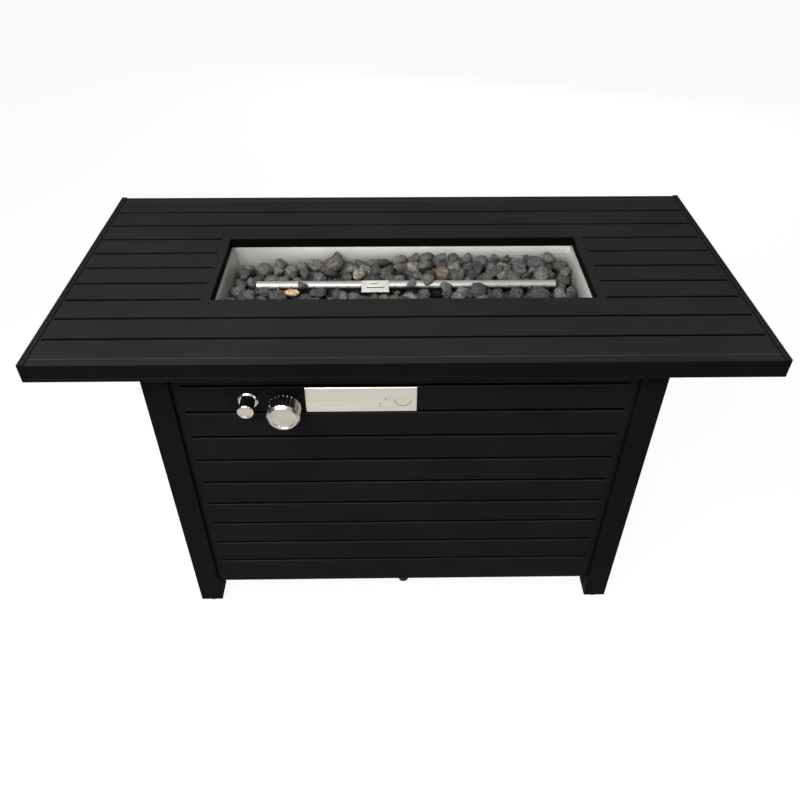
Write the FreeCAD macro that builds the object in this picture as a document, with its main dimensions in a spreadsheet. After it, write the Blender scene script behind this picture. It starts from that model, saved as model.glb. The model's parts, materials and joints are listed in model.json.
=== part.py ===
import FreeCAD, Part
import Sketcher
import math
import os
import random

# Gas fire pit table: slatted steel top with a long fire bowl, on a louvred cabinet
# that hides the gas cylinder. Millimetres, +X right, +Y away from the control side,
# +Z up, origin on the floor under the middle of the table.

Vector = FreeCAD.Vector

SIZES = {
    # Whole table
    "top_length": 1067,
    "top_depth": 508,
    "overall_height": 622,
    "base_length": 776,
    "side_overhang": 35,
    # Folded sheet of the top
    "top_sheet": 1.5,
    "rim_width": 9,
    "rim_proud": 1.5,
    "rim_lip": 4,
    "rim_line_width": 1.2,
    "rim_line_depth": 0.8,
    "apron_height": 29,
    "apron_strip": 15,
    "apron_return": 8,
    "hem_height": 5,
    "hem_step": 0.8,
    "edge_flange": 8,
    "seam_gap": 0.6,
    # Pressed lines between the slats
    "groove_width": 5.4,
    "groove_depth": 4,
    "inner_slat": 46.7,
    "next_slat": 49.4,
    "outer_slat": 50.3,
    # Opening for the flame
    "opening_length": 600,
    "opening_depth": 190,
    "opening_flange": 18,
    "opening_band": 14,
    # Underframe of the top
    "frame_height": 20,
    "stiffener_margin": 73.5,
    "stiffener_width": 30,
    "stiffener_height": 15,
    # Legs and feet
    "leg_size": 40,
    "leg_wall": 1.5,
    "leg_corner": 2,
    "leg_end_plate": 3,
    "foot_height": 12,
    "foot_radius": 14,
    "stud_radius": 4,
    "stud_length": 14,
    "stud_clearance": 0.2,
    "centre_foot_radius": 10,
    "centre_foot_inset": 44,
    "centre_post_radius": 8,
    # Cabinet panels
    "panel_sheet": 1.2,
    "panel_recess": 8,
    "panel_flange": 18,
    "panel_bottom": 61,
    "panel_gap": 0.3,
    "louvre_drop": 50,
    "louvre_pitch": 52.7,
    "louvre_count": 9,
    "louvre_height": 5,
    "louvre_depth": 8,
    "louvre_lip": 1,
    "louvre_margin": 12.5,
    # Cylinder shelf
    "shelf_sheet": 1.5,
    "shelf_edge": 20,
    "rail_size": 20,
    "tank_place": 115,
    "tank_hole_radius": 100,
    "collar_radius": 106,
    "collar_height": 12,
    # Door and its hardware
    "door_side_gap": 2,
    "door_apron_gap": 4,
    "header_gap": 2,
    "header_depth": 30,
    "hinge_height": 60,
    "hinge_margin": 70,
    "hinge_inset": 4,
    "hinge_leaf": 24,
    "hinge_sheet": 1.5,
    "knuckle_radius": 3.5,
    "knuckle_gap": 0.3,
    "pin_radius": 1.75,
    "pin_clearance": 0.05,
    "pull_radius": 12,
    "pull_length": 22,
    "pull_margin": 36,
    "catch_width": 12,
    "catch_depth": 20,
    "catch_height": 40,
    # Fire bowl
    "bowl_length": 590,
    "bowl_depth": 186,
    "bowl_height": 65,
    "bowl_slope": 9,
    "bowl_wall": 1,
    "bowl_lip": 14,
    "drain_place": 42,
    "drain_radius": 4,
    "hanger_place": 200,
    "hanger_length": 30,
    "hanger_foot": 10,
    "shield_drop": 10,
    "shield_half_depth": 90,
    "shield_hole_gap": 4,
    # Burner
    "burner_radius": 8,
    "burner_wall": 1,
    "burner_length": 500,
    "burner_shift": 5,
    "burner_drop": 37,
    "port_across": 2.4,
    "port_margin": 19.6,
    "port_count": 25,
    "port_tilt": 19,
    "saddle_margin": 40,
    "saddle_width": 24,
    "saddle_sheet": 2,
    "riser_place": -120,
    "riser_radius": 7,
    "riser_wall": 1.5,
    "riser_length": 88,
    "nut_across": 24,
    "nut_height": 6,
    "venturi_radius": 11,
    "venturi_wall": 2,
    "venturi_length": 60,
    "venturi_overlap": 12,
    "window_width": 8,
    "window_height": 14,
    "orifice_across": 14,
    "jet_holder_radius": 5,
    "jet_bore": 1,
    "orifice_height": 12,
    "gas_tube_radius": 4,
    "gas_tube_bend": 22,
    "gas_tube_drop": 36,
    "screw_clearance": 0.05,
    # Ignition in the bowl
    "electrode_place": -47,
    "electrode_stand": 14,
    "electrode_radius": 3.5,
    "electrode_height": 34,
    "wire_radius": 1,
    "cover_length": 46,
    "cover_sheet": 1.2,
    "cover_skirt": 6,
    "cover_flange": 11,
    "cover_bar": 13.8,
    "cover_screw_place": 17.5,
    # Controls on the front
    "control_drop": 78,
    "knob_place": -180,
    "igniter_place": -237,
    "plate_left": -270,
    "plate_right": -151,
    "plate_height": 45,
    "plate_sheet": 1.2,
    "label_length": 168,
    "label_height": 48,
    "label_sheet": 1.5,
    "label_bevel": 0.8,
    # Gas valve
    "valve_width": 30,
    "valve_above": 15,
    "valve_below": 15,
    "valve_length": 42,
    "valve_corner": 3,
    "bracket_left": 22.4,
    "bracket_right": 32,
    "bracket_height": 30,
    "inlet_radius": 7.9,
    "inlet_length": 14,
    "inlet_bore": 4.5,
    "inlet_hex": 19,
    "inlet_shoulder": 8,
    "outlet_radius": 6.5,
    "outlet_length": 8,
    "outlet_fall": 6,
    "stem_radius": 4,
    "stem_flat": 2.6,
    "stem_front": 26,
    "stem_tail": 16,
    "stem_hole_gap": 2,
    "collar_outer": 7,
    "collar_length": 8,
    "push_travel": 3,
    "running_clearance": 0.05,
    # Knob
    "knob_radius": 24.5,
    "knob_length": 28.5,
    "knob_edge": 3.5,
    "knob_step": 1,
    "knob_face_radius": 17,
    "knob_standoff": 4.5,
    "hub_radius": 10,
    "hub_length": 8.5,
    "knob_flutes": 24,
    "flute_width": 2.4,
    "flute_depth": 0.8,
    "dimple_radius": 2.2,
    "dimple_place": 15,
    # Igniter
    "igniter_radius": 11,
    "igniter_neck": 16,
    "igniter_length": 60,
    "igniter_flange": 14.8,
    "igniter_flange_height": 5,
    "igniter_step": 0.5,
    "igniter_tail": 6,
    "igniter_collar_radius": 15.7,
    "igniter_collar_length": 3.5,
    "igniter_collar_edge": 2,
    "button_radius": 12.5,
    "button_length": 7,
    "button_edge": 1.2,
    "button_face_radius": 8.8,
    "button_gap": 0.5,
    "button_stem_radius": 7,
    "button_stem_length": 22,
    "button_travel": 3.5,
    # Lava rocks
    "rock_count": 330,
    "rock_small": 10,
    "rock_large": 17.5,
    "rock_gap": 0.25,
    "rock_corners": 11,
    "heap_height": 57,
    "heap_most": 67,
    "heap_valley": 48,
}

doc = FreeCAD.newDocument("fire_pit_table")
sheet = doc.addObject("Spreadsheet::Sheet", "Sizes")
for row, (alias, value) in enumerate(SIZES.items(), start=1):
    sheet.set(f"A{row}", alias)
    sheet.set(f"B{row}", str(value))
    sheet.setAlias(f"B{row}", alias)
doc.recompute()


class Size:
    """A length that knows its number and the sheet expression that gives it."""

    def __init__(self, value, text):
        self.value = value
        self.text = text

    def __add__(self, other):
        other = size(other)
        return Size(self.value + other.value, f"({self.text} + {other.text})")

    def __radd__(self, other):
        return size(other) + self

    def __sub__(self, other):
        other = size(other)
        return Size(self.value - other.value, f"({self.text} - {other.text})")

    def __rsub__(self, other):
        return size(other) - self

    def __mul__(self, other):
        other = size(other)
        return Size(self.value * other.value, f"({self.text} * {other.text})")

    __rmul__ = __mul__

    def __truediv__(self, other):
        other = size(other)
        return Size(self.value / other.value, f"({self.text} / {other.text})")

    def __neg__(self):
        return self * -1


def size(item):
    if isinstance(item, Size):
        return item
    return Size(item, f"({item})")


class Sheet:
    """The sheet's sizes by name."""


S = Sheet()
for alias, value in SIZES.items():
    setattr(S, alias, Size(value, f"Sizes.{alias}"))


# Sketches and features

def new_body(name, x=0, y=0, z=0, turn=0):
    """A sub-part with its own frame, turned about Z and moved to its place."""
    body = doc.addObject("PartDesign::Body", name)
    body.Label = name
    body.Placement = FreeCAD.Placement(Vector(0, 0, 0), FreeCAD.Rotation(Vector(0, 0, 1), turn))
    for axis, place in zip("xyz", (x, y, z)):
        body.setExpression(f"Placement.Base.{axis}", size(place).text)
    return body


def sketch_on(body, plane, level=0, tilt=0):
    """A sketch on an origin plane of the body, moved to a level along that plane's axis."""
    sketch = body.newObject("Sketcher::SketchObject", f"{body.Label}_sketch")
    role = f"{plane}_Plane"
    support = [item for item in body.Origin.OriginFeatures if item.Role == role][0]
    sketch.AttachmentSupport = [(support, "")]
    sketch.MapMode = "FlatFace"
    if tilt:
        sketch.AttachmentOffset = FreeCAD.Placement(Vector(), FreeCAD.Rotation(Vector(1, 0, 0), tilt))
    offset = -size(level) if plane == "XZ" else size(level)
    sketch.setExpression("AttachmentOffset.Base.z", offset.text)
    return sketch


def tie(sketch, geometry, end, x, y):
    """Holds one point of the sketch at (x, y)."""
    for name, place, axis in (("DistanceX", size(x), -2), ("DistanceY", size(y), -1)):
        if place.text == "(0)":
            sketch.addConstraint(Sketcher.Constraint("PointOnObject", geometry, end, axis))
            continue
        index = sketch.addConstraint(Sketcher.Constraint(name, -1, 1, geometry, end, place.value))
        sketch.setExpression(f"Constraints[{index}]", place.text)


def outline(sketch, points):
    """A closed outline of straight lines, every corner held by the sheet."""
    first = sketch.GeometryCount
    count = len(points)
    corners = [Vector(size(x).value, size(y).value, 0) for x, y in points]
    for start, end in zip(corners, corners[1:] + corners[:1]):
        sketch.addGeometry(Part.LineSegment(start, end), False)
    for index in range(count):
        following = first + (index + 1) % count
        sketch.addConstraint(Sketcher.Constraint("Coincident", first + index, 2, following, 1))
    for index, (x, y) in enumerate(points):
        tie(sketch, first + index, 1, x, y)


def rectangle(sketch, left, right, low, high):
    """An upright rectangle held at two opposite corners."""
    first = sketch.GeometryCount
    x0, x1 = size(left).value, size(right).value
    y0, y1 = size(low).value, size(high).value
    corners = [Vector(x0, y0, 0), Vector(x1, y0, 0), Vector(x1, y1, 0), Vector(x0, y1, 0)]
    for start, end in zip(corners, corners[1:] + corners[:1]):
        sketch.addGeometry(Part.LineSegment(start, end), False)
    for index in range(4):
        following = first + (index + 1) % 4
        sketch.addConstraint(Sketcher.Constraint("Coincident", first + index, 2, following, 1))
        kind = "Vertical" if index % 2 else "Horizontal"
        sketch.addConstraint(Sketcher.Constraint(kind, first + index))
    tie(sketch, first, 1, left, low)
    tie(sketch, first + 2, 1, right, high)


def circle(sketch, x, y, radius):
    index = sketch.addGeometry(Part.Circle(Vector(size(x).value, size(y).value, 0),
                                           Vector(0, 0, 1), size(radius).value), False)
    tie(sketch, index, 3, x, y)
    held = sketch.addConstraint(Sketcher.Constraint("Radius", index, size(radius).value))
    sketch.setExpression(f"Constraints[{held}]", size(radius).text)


def hexagon(sketch, x, y, across):
    """A hexagon with two flats upright, by its size across the flats."""
    reach = size(across) / math.sqrt(3)
    corners = []
    for index in range(6):
        angle = math.radians(60 * index + 30)
        corners.append((size(x) + reach * math.cos(angle), size(y) + reach * math.sin(angle)))
    outline(sketch, corners)


def d_outline(sketch, radius, flat):
    """A circle with one flat above its middle, for a stem that must not slip."""
    r, f = size(radius).value, size(flat).value
    half = math.sqrt(r * r - f * f)
    start = math.atan2(f, -half)
    stop = math.atan2(f, half) + 2 * math.pi
    arc = sketch.addGeometry(Part.ArcOfCircle(Part.Circle(Vector(), Vector(0, 0, 1), r), start, stop), False)
    line = sketch.addGeometry(Part.LineSegment(Vector(half, f, 0), Vector(-half, f, 0)), False)
    sketch.addConstraint(Sketcher.Constraint("Coincident", arc, 2, line, 1))
    sketch.addConstraint(Sketcher.Constraint("Coincident", line, 2, arc, 1))
    sketch.addConstraint(Sketcher.Constraint("Coincident", arc, 3, -1, 1))
    sketch.addConstraint(Sketcher.Constraint("Horizontal", line))
    for kind, item, place in (("Radius", (arc,), radius), ("DistanceY", (-1, 1, line, 1), flat)):
        held = sketch.addConstraint(Sketcher.Constraint(kind, *item, size(place).value))
        sketch.setExpression(f"Constraints[{held}]", size(place).text)


def feature(body, kind, sketch, length, reverse):
    item = body.newObject(f"PartDesign::{kind}", f"{body.Label}_{kind.lower()}")
    item.Profile = sketch
    item.setExpression("Length", size(length).text)
    item.Reversed = reverse
    body.Tip = item
    return item


def pad(body, sketch, length, reverse=False):
    """Adds along the plane's axis: +Z on XY, -Y on XZ, +X on YZ, or the other way reversed."""
    return feature(body, "Pad", sketch, length, reverse)


def pocket(body, sketch, length, reverse=False):
    """Cuts against the plane's axis: -Z on XY, +Y on XZ, -X on YZ, or the other way reversed."""
    return feature(body, "Pocket", sketch, length, reverse)


def revolve(body, sketch, axis, kind="Revolution"):
    item = body.newObject(f"PartDesign::{kind}", f"{body.Label}_turned")
    item.Profile = sketch
    item.ReferenceAxis = (sketch, [axis])
    item.Angle = 360
    body.Tip = item
    return item


def turned(body, plane, points, axis="V_Axis"):
    sketch = sketch_on(body, plane)
    outline(sketch, points)
    return revolve(body, sketch, axis)


def row_pattern(body, features, direction, pitch, count, reverse=False):
    """Repeats features along a sketch axis at a steady pitch."""
    item = body.newObject("PartDesign::LinearPattern", f"{body.Label}_row")
    item.Originals = features
    item.Direction = direction
    item.setExpression("Length", (size(pitch) * (size(count) - 1)).text)
    item.setExpression("Occurrences", size(count).text)
    item.Reversed = reverse
    body.Tip = item
    return item


def ring_pattern(body, features, axis, count):
    item = body.newObject("PartDesign::PolarPattern", f"{body.Label}_ring")
    item.Originals = features
    item.Axis = axis
    item.Angle = 360
    item.setExpression("Occurrences", size(count).text)
    body.Tip = item
    return item


def soften(body, chosen, amount, kind="Fillet"):
    """Rounds or bevels the edges of the body that chosen(edge) picks."""
    doc.recompute()
    base = body.Tip
    names = [f"Edge{index}" for index, edge in enumerate(base.Shape.Edges, start=1) if chosen(edge)]
    item = body.newObject(f"PartDesign::{kind}", f"{body.Label}_{kind.lower()}")
    item.Base = (base, names)
    item.setExpression("Radius" if kind == "Fillet" else "Size", size(amount).text)
    body.Tip = item
    return item


def runs_along(edge, axis):
    """True for a straight edge along one axis of the body's frame."""
    if not isinstance(edge.Curve, Part.Line):
        return False
    direction = edge.Vertexes[-1].Point - edge.Vertexes[0].Point
    return abs(abs(direction.normalize().dot(axis)) - 1) < 1e-6


def solid_part(name, shape):
    """A sub-part whose shape is worked out here from the sheet's numbers."""
    item = doc.addObject("Part::Feature", name)
    item.Label = name
    item.Shape = shape
    return item


def rod_along(points, bend, radius):
    """A round rod of straight runs joined by tangent arcs of one radius, as a bent tube has them."""
    pieces = []
    start = points[0]
    for before, corner, after in zip(points, points[1:], points[2:]):
        back = (before - corner).normalize()
        ahead = (after - corner).normalize()
        half = math.acos(max(-1, min(1, back.dot(ahead)))) / 2
        enter = corner + back * (bend / math.tan(half))
        centre = corner + (back + ahead).normalize() * (bend / math.sin(half))
        pieces.append(Part.makeCylinder(radius, (enter - start).Length, start, -back))
        disc = Part.Face(Part.Wire([Part.Circle(enter, back, radius).toShape()]))
        axis = (enter - centre).cross(-back).normalize()
        pieces.append(disc.revolve(centre, axis, 180 - 2 * math.degrees(half)))
        start = corner + ahead * (bend / math.tan(half))
    last = points[-1] - start
    pieces.append(Part.makeCylinder(radius, last.Length, start, last.normalize()))
    return pieces[0].multiFuse(pieces[1:]).removeSplitter()


# Levels and faces that several pieces share

HALF_LENGTH = S.top_length / 2
HALF_DEPTH = S.top_depth / 2
BASE_DEPTH = S.top_depth - S.side_overhang * 2
TOP = S.overall_height - S.rim_proud
SHEET_UNDER = TOP - S.top_sheet
RIDGE_UNDER = TOP - S.groove_depth - S.top_sheet
APRON_BOTTOM = TOP - S.apron_height
PANEL_HALF_LENGTH = HALF_LENGTH - S.rim_width - S.seam_gap / 2
PANEL_HALF_DEPTH = HALF_DEPTH - S.apron_strip - S.seam_gap / 2
OPEN_X = S.opening_length / 2
OPEN_Y = S.opening_depth / 2
LEG_TOP = RIDGE_UNDER - S.frame_height
CONTROL = LEG_TOP - S.control_drop
LEG_X = S.base_length / 2 - S.leg_size / 2
LEG_Y = BASE_DEPTH / 2 - S.leg_size / 2
BAY_X = S.base_length / 2 - S.leg_size
BAY_Y = BASE_DEPTH / 2 - S.leg_size
FACE_X = S.base_length / 2 - S.panel_recess
FACE_Y = BASE_DEPTH / 2 - S.panel_recess
CENTRE_FOOT_Y = FACE_Y - S.centre_foot_inset
SHELF_UNDER = S.panel_bottom + S.panel_sheet
SHELF_TOP = SHELF_UNDER + S.shelf_sheet
LIP_TOP = TOP - S.opening_flange
BOWL_BOTTOM = LIP_TOP - S.bowl_height
BOWL_FLOOR = BOWL_BOTTOM + S.bowl_wall
BURNER_AXIS = TOP - S.burner_drop
SADDLE_X = S.burner_length / 2 - S.saddle_margin
SHIELD_TOP = BOWL_BOTTOM - S.shield_drop
DOOR_TOP = APRON_BOTTOM - S.door_apron_gap
PANEL_BACK = -FACE_Y + S.panel_sheet
PLATE_FRONT = -FACE_Y - S.plate_sheet
VALVE_FRONT = PANEL_BACK + S.plate_sheet
KNOB_BACK = PLATE_FRONT - S.knob_standoff
HINGE_X = -BAY_X + S.hinge_inset
HINGE_Y = BASE_DEPTH / 2 + S.knuckle_radius

DIMPLE_ANGLE = -118

SIDES = {"left": -1, "right": 1}
ENDS = {"front": -1, "rear": 1}


# Table top

def groove_rows():
    """Distances of the lines from the middle: beside the opening, then right across."""
    third = S.inner_slat * 2 + S.next_slat
    beside = (size(0), S.inner_slat, S.inner_slat * 2)
    across = (third, third + S.outer_slat)
    return beside, across


def draw_grooves(sketch, width, spread):
    """All the lines of the top, or their wider backs."""
    beside, across = groove_rows()
    far = PANEL_HALF_LENGTH - S.top_sheet * 2 + spread
    near = OPEN_X + S.opening_band - spread
    half = width / 2
    for row in across:
        for side in (-1, 1):
            rectangle(sketch, -far, far, row * side - half, row * side + half)
    for row in beside:
        for side in ((1,) if row.value == 0 else (-1, 1)):
            rectangle(sketch, near, far, row * side - half, row * side + half)
            rectangle(sketch, -far, -near, row * side - half, row * side + half)


def top_panel():
    body = new_body("top_panel")
    plate = sketch_on(body, "XY", SHEET_UNDER)
    rectangle(plate, -PANEL_HALF_LENGTH, PANEL_HALF_LENGTH, -PANEL_HALF_DEPTH, PANEL_HALF_DEPTH)
    pad(body, plate, S.top_sheet)
    ridges = sketch_on(body, "XY", RIDGE_UNDER)
    draw_grooves(ridges, S.groove_width + S.top_sheet * 2, S.top_sheet)
    pad(body, ridges, S.groove_depth)
    opening = sketch_on(body, "XY", TOP)
    rectangle(opening, -OPEN_X, OPEN_X, -OPEN_Y, OPEN_Y)
    pocket(body, opening, S.top_sheet)
    grooves = sketch_on(body, "XY", TOP)
    draw_grooves(grooves, S.groove_width, 0)
    pocket(body, grooves, S.groove_depth)


def panel_edge():
    """Turned edge all round the slatted sheet, against the aprons and rims."""
    body = new_body("panel_edge")
    ring = sketch_on(body, "XY", SHEET_UNDER - S.edge_flange)
    inner_x = PANEL_HALF_LENGTH - S.top_sheet
    inner_y = PANEL_HALF_DEPTH - S.top_sheet
    rectangle(ring, -PANEL_HALF_LENGTH, PANEL_HALF_LENGTH, -PANEL_HALF_DEPTH, PANEL_HALF_DEPTH)
    rectangle(ring, -inner_x, inner_x, -inner_y, inner_y)
    pad(body, ring, S.edge_flange)


def opening_collar():
    """Folded ring welded under the edge of the opening, down to the lip of the bowl."""
    body = new_body("opening_collar")
    ring = sketch_on(body, "XY", LIP_TOP)
    outer_x = OPEN_X + S.top_sheet
    outer_y = OPEN_Y + S.top_sheet
    rectangle(ring, -outer_x, outer_x, -outer_y, outer_y)
    rectangle(ring, -OPEN_X, OPEN_X, -OPEN_Y, OPEN_Y)
    pad(body, ring, S.opening_flange - S.top_sheet)


def side_rim(name, side):
    """Trim along one end of the top: a folded channel with a lined face and closed ends."""
    body = new_body(name)
    outer = HALF_LENGTH
    inner = HALF_LENGTH - S.rim_width
    wall = S.top_sheet
    high = S.overall_height
    line = outer - S.rim_lip
    points = [
        (outer, APRON_BOTTOM), (outer, high), (line, high), (line, high - S.rim_line_depth),
        (line - S.rim_line_width, high - S.rim_line_depth), (line - S.rim_line_width, high),
        (inner, high), (inner, SHEET_UNDER - S.edge_flange), (inner + wall, SHEET_UNDER - S.edge_flange),
        (inner + wall, high - wall), (outer - wall, high - wall), (outer - wall, APRON_BOTTOM + wall),
        (outer - S.apron_return, APRON_BOTTOM + wall), (outer - S.apron_return, APRON_BOTTOM),
    ]
    profile = sketch_on(body, "XZ", HALF_DEPTH)
    outline(profile, [(x * side, z) for x, z in points])
    pad(body, profile, S.top_depth)
    ends = [(outer, APRON_BOTTOM), (outer, high - S.rim_line_depth), (inner, high - S.rim_line_depth),
            (inner, APRON_BOTTOM)]
    for level in (HALF_DEPTH, -HALF_DEPTH + wall):
        cap = sketch_on(body, "XZ", level)
        outline(cap, [(x * side, z) for x, z in ends])
        pad(body, cap, wall)


def apron(name, end):
    """Folded edge along the front or rear, with a hem that stands a little proud."""
    body = new_body(name)
    wall = S.top_sheet
    outer = HALF_DEPTH
    face = HALF_DEPTH - S.hem_step
    inner = HALF_DEPTH - S.apron_strip
    hem = APRON_BOTTOM + S.hem_height
    points = [
        (outer, APRON_BOTTOM), (outer, hem), (face, hem), (face, TOP), (inner, TOP),
        (inner, SHEET_UNDER - S.edge_flange), (inner + wall, SHEET_UNDER - S.edge_flange),
        (inner + wall, TOP - wall), (face - wall, TOP - wall), (face - wall, APRON_BOTTOM + wall),
        (outer - S.apron_return, APRON_BOTTOM + wall), (outer - S.apron_return, APRON_BOTTOM),
    ]
    half = HALF_LENGTH - S.rim_width
    profile = sketch_on(body, "YZ", -half)
    outline(profile, [(y * end, z) for y, z in points])
    pad(body, profile, half * 2)


def top_stiffeners():
    """Two channels under the overhanging ends of the top."""
    body = new_body("top_stiffeners")
    profile = sketch_on(body, "XZ", PANEL_HALF_DEPTH - S.top_sheet)
    wall = S.top_sheet
    low = RIDGE_UNDER - S.stiffener_height
    for side in (-1, 1):
        near = HALF_LENGTH - S.stiffener_margin - S.stiffener_width / 2
        far = near + S.stiffener_width
        points = [(near, low), (far, low), (far, RIDGE_UNDER), (far - wall, RIDGE_UNDER),
                  (far - wall, low + wall), (near + wall, low + wall), (near + wall, RIDGE_UNDER),
                  (near, RIDGE_UNDER)]
        outline(profile, [(x * side, z) for x, z in points])
    pad(body, profile, (PANEL_HALF_DEPTH - S.top_sheet) * 2)


def top_frame():
    """Ring of inverted channel that carries the top on the four legs."""
    body = new_body("top_frame")
    half_x, half_y = S.base_length / 2, BASE_DEPTH / 2
    wall = S.leg_wall
    ring = sketch_on(body, "XY", LEG_TOP)
    rectangle(ring, -half_x, half_x, -half_y, half_y)
    rectangle(ring, -BAY_X, BAY_X, -BAY_Y, BAY_Y)
    pad(body, ring, S.frame_height)
    hollow = sketch_on(body, "XY", LEG_TOP)
    rectangle(hollow, -half_x + wall, half_x - wall, -half_y + wall, half_y - wall)
    rectangle(hollow, -BAY_X - wall, BAY_X + wall, -BAY_Y - wall, BAY_Y + wall)
    pocket(body, hollow, S.frame_height - wall, reverse=True)


# Legs and feet

def leg(name, side, end):
    """Square tube with a closed foot end that takes the glide's stud."""
    body = new_body(name, LEG_X * side, LEG_Y * end, S.foot_height)
    half = S.leg_size / 2
    length = LEG_TOP - S.foot_height
    section = sketch_on(body, "XY")
    rectangle(section, -half, half, -half, half)
    pad(body, section, length)
    soften(body, lambda edge: runs_along(edge, Vector(0, 0, 1)), S.leg_corner)
    bore = sketch_on(body, "XY", length)
    inside = half - S.leg_wall
    rectangle(bore, -inside, inside, -inside, inside)
    pocket(body, bore, length - S.leg_end_plate)
    hole = sketch_on(body, "XY", S.leg_end_plate)
    circle(hole, 0, 0, S.stud_radius + S.stud_clearance)
    pocket(body, hole, S.leg_end_plate)


def foot(name, side, end):
    body = new_body(name, LEG_X * side, LEG_Y * end)
    r = S.foot_radius
    top = S.foot_height
    edge = r / 10
    turned(body, "XZ", [(0, 0), (r - edge, 0), (r, edge), (r, top - edge), (r - edge, top),
                        (S.stud_radius, top), (S.stud_radius, top + S.stud_length), (0, top + S.stud_length)])


def centre_foot(name, end):
    """Post under the middle of the shelf's long edge, for the weight of the cylinder."""
    body = new_body(name, 0, CENTRE_FOOT_Y * end)
    r = S.centre_foot_radius
    edge = r / 10
    post = S.centre_post_radius
    turned(body, "XZ", [(0, 0), (r - edge, 0), (r, edge), (r, S.foot_height), (post, S.foot_height),
                        (post, SHELF_UNDER), (S.stud_radius, SHELF_UNDER),
                        (S.stud_radius, SHELF_UNDER + S.stud_length), (0, SHELF_UNDER + S.stud_length)])


# Cabinet

def louvred_panel(body, width, height):
    """Sheet pan with turned edges and pressed louvre lines; its face is at y = 0, its back at +Y."""
    half = width / 2
    wall = S.panel_sheet
    face = sketch_on(body, "XZ")
    rectangle(face, -half, half, 0, height)
    pad(body, face, wall, reverse=True)
    edge = sketch_on(body, "XZ", wall)
    rectangle(edge, -half, half, 0, height)
    rectangle(edge, -half + wall, half - wall, wall, height - wall)
    pad(body, edge, S.panel_flange - wall, reverse=True)
    reach = half - S.louvre_margin
    top = LEG_TOP - S.louvre_drop + S.louvre_height / 2 - S.panel_bottom
    low = top - S.louvre_height
    back = sketch_on(body, "YZ", -reach - wall)
    outline(back, [(wall / 2, top + wall), (S.louvre_depth + wall, top + wall),
                   (S.louvre_depth + wall, low - wall), (wall / 2, low - S.louvre_lip - wall)])
    ridge = pad(body, back, (reach + wall) * 2)
    line = sketch_on(body, "YZ", reach)
    outline(line, [(0, top), (S.louvre_depth, top), (S.louvre_depth, low), (0, low - S.louvre_lip)])
    groove = pocket(body, line, reach * 2)
    row_pattern(body, [ridge, groove], (line, ["V_Axis"]), S.louvre_pitch, S.louvre_count, reverse=True)


def front_panel():
    body = new_body("front_panel", 0, -FACE_Y, S.panel_bottom)
    width = (BAY_X - S.panel_gap) * 2
    louvred_panel(body, width, LEG_TOP - S.panel_bottom)
    holes = sketch_on(body, "XZ")
    level = CONTROL - S.panel_bottom
    circle(holes, S.knob_place, level, S.stem_radius + S.stem_hole_gap)
    circle(holes, S.igniter_place, level, S.igniter_radius + S.panel_gap)
    pocket(body, holes, S.panel_sheet)


def side_panel(name, side):
    body = new_body(name, FACE_X * side, 0, S.panel_bottom, turn=90 * side)
    louvred_panel(body, (BAY_Y - S.panel_gap) * 2, LEG_TOP - S.panel_bottom)


def rear_door():
    body = new_body("rear_door", 0, FACE_Y, S.panel_bottom, turn=180)
    louvred_panel(body, (BAY_X - S.door_side_gap) * 2, DOOR_TOP - S.panel_bottom)


def rear_header():
    """Angle under the top frame that closes the gap above the door."""
    body = new_body("rear_header")
    wall = S.panel_sheet
    half = BAY_X - S.panel_gap
    profile = sketch_on(body, "YZ", -half)
    outline(profile, [(FACE_Y, DOOR_TOP + S.header_gap), (FACE_Y, LEG_TOP), (FACE_Y - S.header_depth, LEG_TOP),
                      (FACE_Y - S.header_depth, LEG_TOP - wall), (FACE_Y - wall, LEG_TOP - wall),
                      (FACE_Y - wall, DOOR_TOP + S.header_gap)])
    pad(body, profile, half * 2)


def bottom_shelf():
    """Cylinder shelf: notched round the legs, holed, with a collar that holds the foot ring."""
    body = new_body("bottom_shelf")
    gap = S.panel_gap
    narrow = BAY_X - gap - S.panel_sheet - gap
    wide = FACE_X - S.panel_sheet - gap
    notch = BAY_Y - gap - S.panel_sheet - gap
    front = -FACE_Y + S.panel_sheet + gap
    rear = FACE_Y - S.panel_flange - gap
    half = [(narrow, front), (narrow, -notch), (wide, -notch), (wide, notch), (narrow, notch), (narrow, rear)]
    floor = sketch_on(body, "XY", SHELF_UNDER)
    outline(floor, half + [(-x, y) for x, y in reversed(half)])
    pad(body, floor, S.shelf_sheet)
    edge = sketch_on(body, "XY", SHELF_TOP)
    rectangle(edge, -narrow, narrow, rear - S.shelf_sheet, rear)
    pad(body, edge, S.shelf_edge)
    collar = sketch_on(body, "XY", SHELF_TOP)
    circle(collar, S.tank_place, 0, S.collar_radius + S.shelf_sheet)
    circle(collar, S.tank_place, 0, S.collar_radius)
    pad(body, collar, S.collar_height)
    holes = sketch_on(body, "XY", SHELF_TOP)
    circle(holes, S.tank_place, 0, S.tank_hole_radius)
    for end in (-1, 1):
        circle(holes, 0, CENTRE_FOOT_Y * end, S.stud_radius + S.stud_clearance)
    pocket(body, holes, S.shelf_sheet)


def shelf_rail(name, side):
    """Square tube between a front and a rear leg, under the side panel."""
    body = new_body(name, LEG_X * side)
    section = sketch_on(body, "XZ", BAY_Y)
    half = S.rail_size / 2
    wall = S.leg_wall
    low = S.panel_bottom - S.rail_size
    rectangle(section, -half, half, low, S.panel_bottom)
    rectangle(section, -half + wall, half - wall, low + wall, S.panel_bottom - wall)
    pad(body, section, BAY_Y * 2)


# Door hardware

def hinge_levels():
    """Bottom of the lower hinge and the pitch to the upper one."""
    low = S.panel_bottom + S.hinge_margin
    high = DOOR_TOP - S.hinge_margin - S.hinge_height
    return low, high - low


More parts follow.
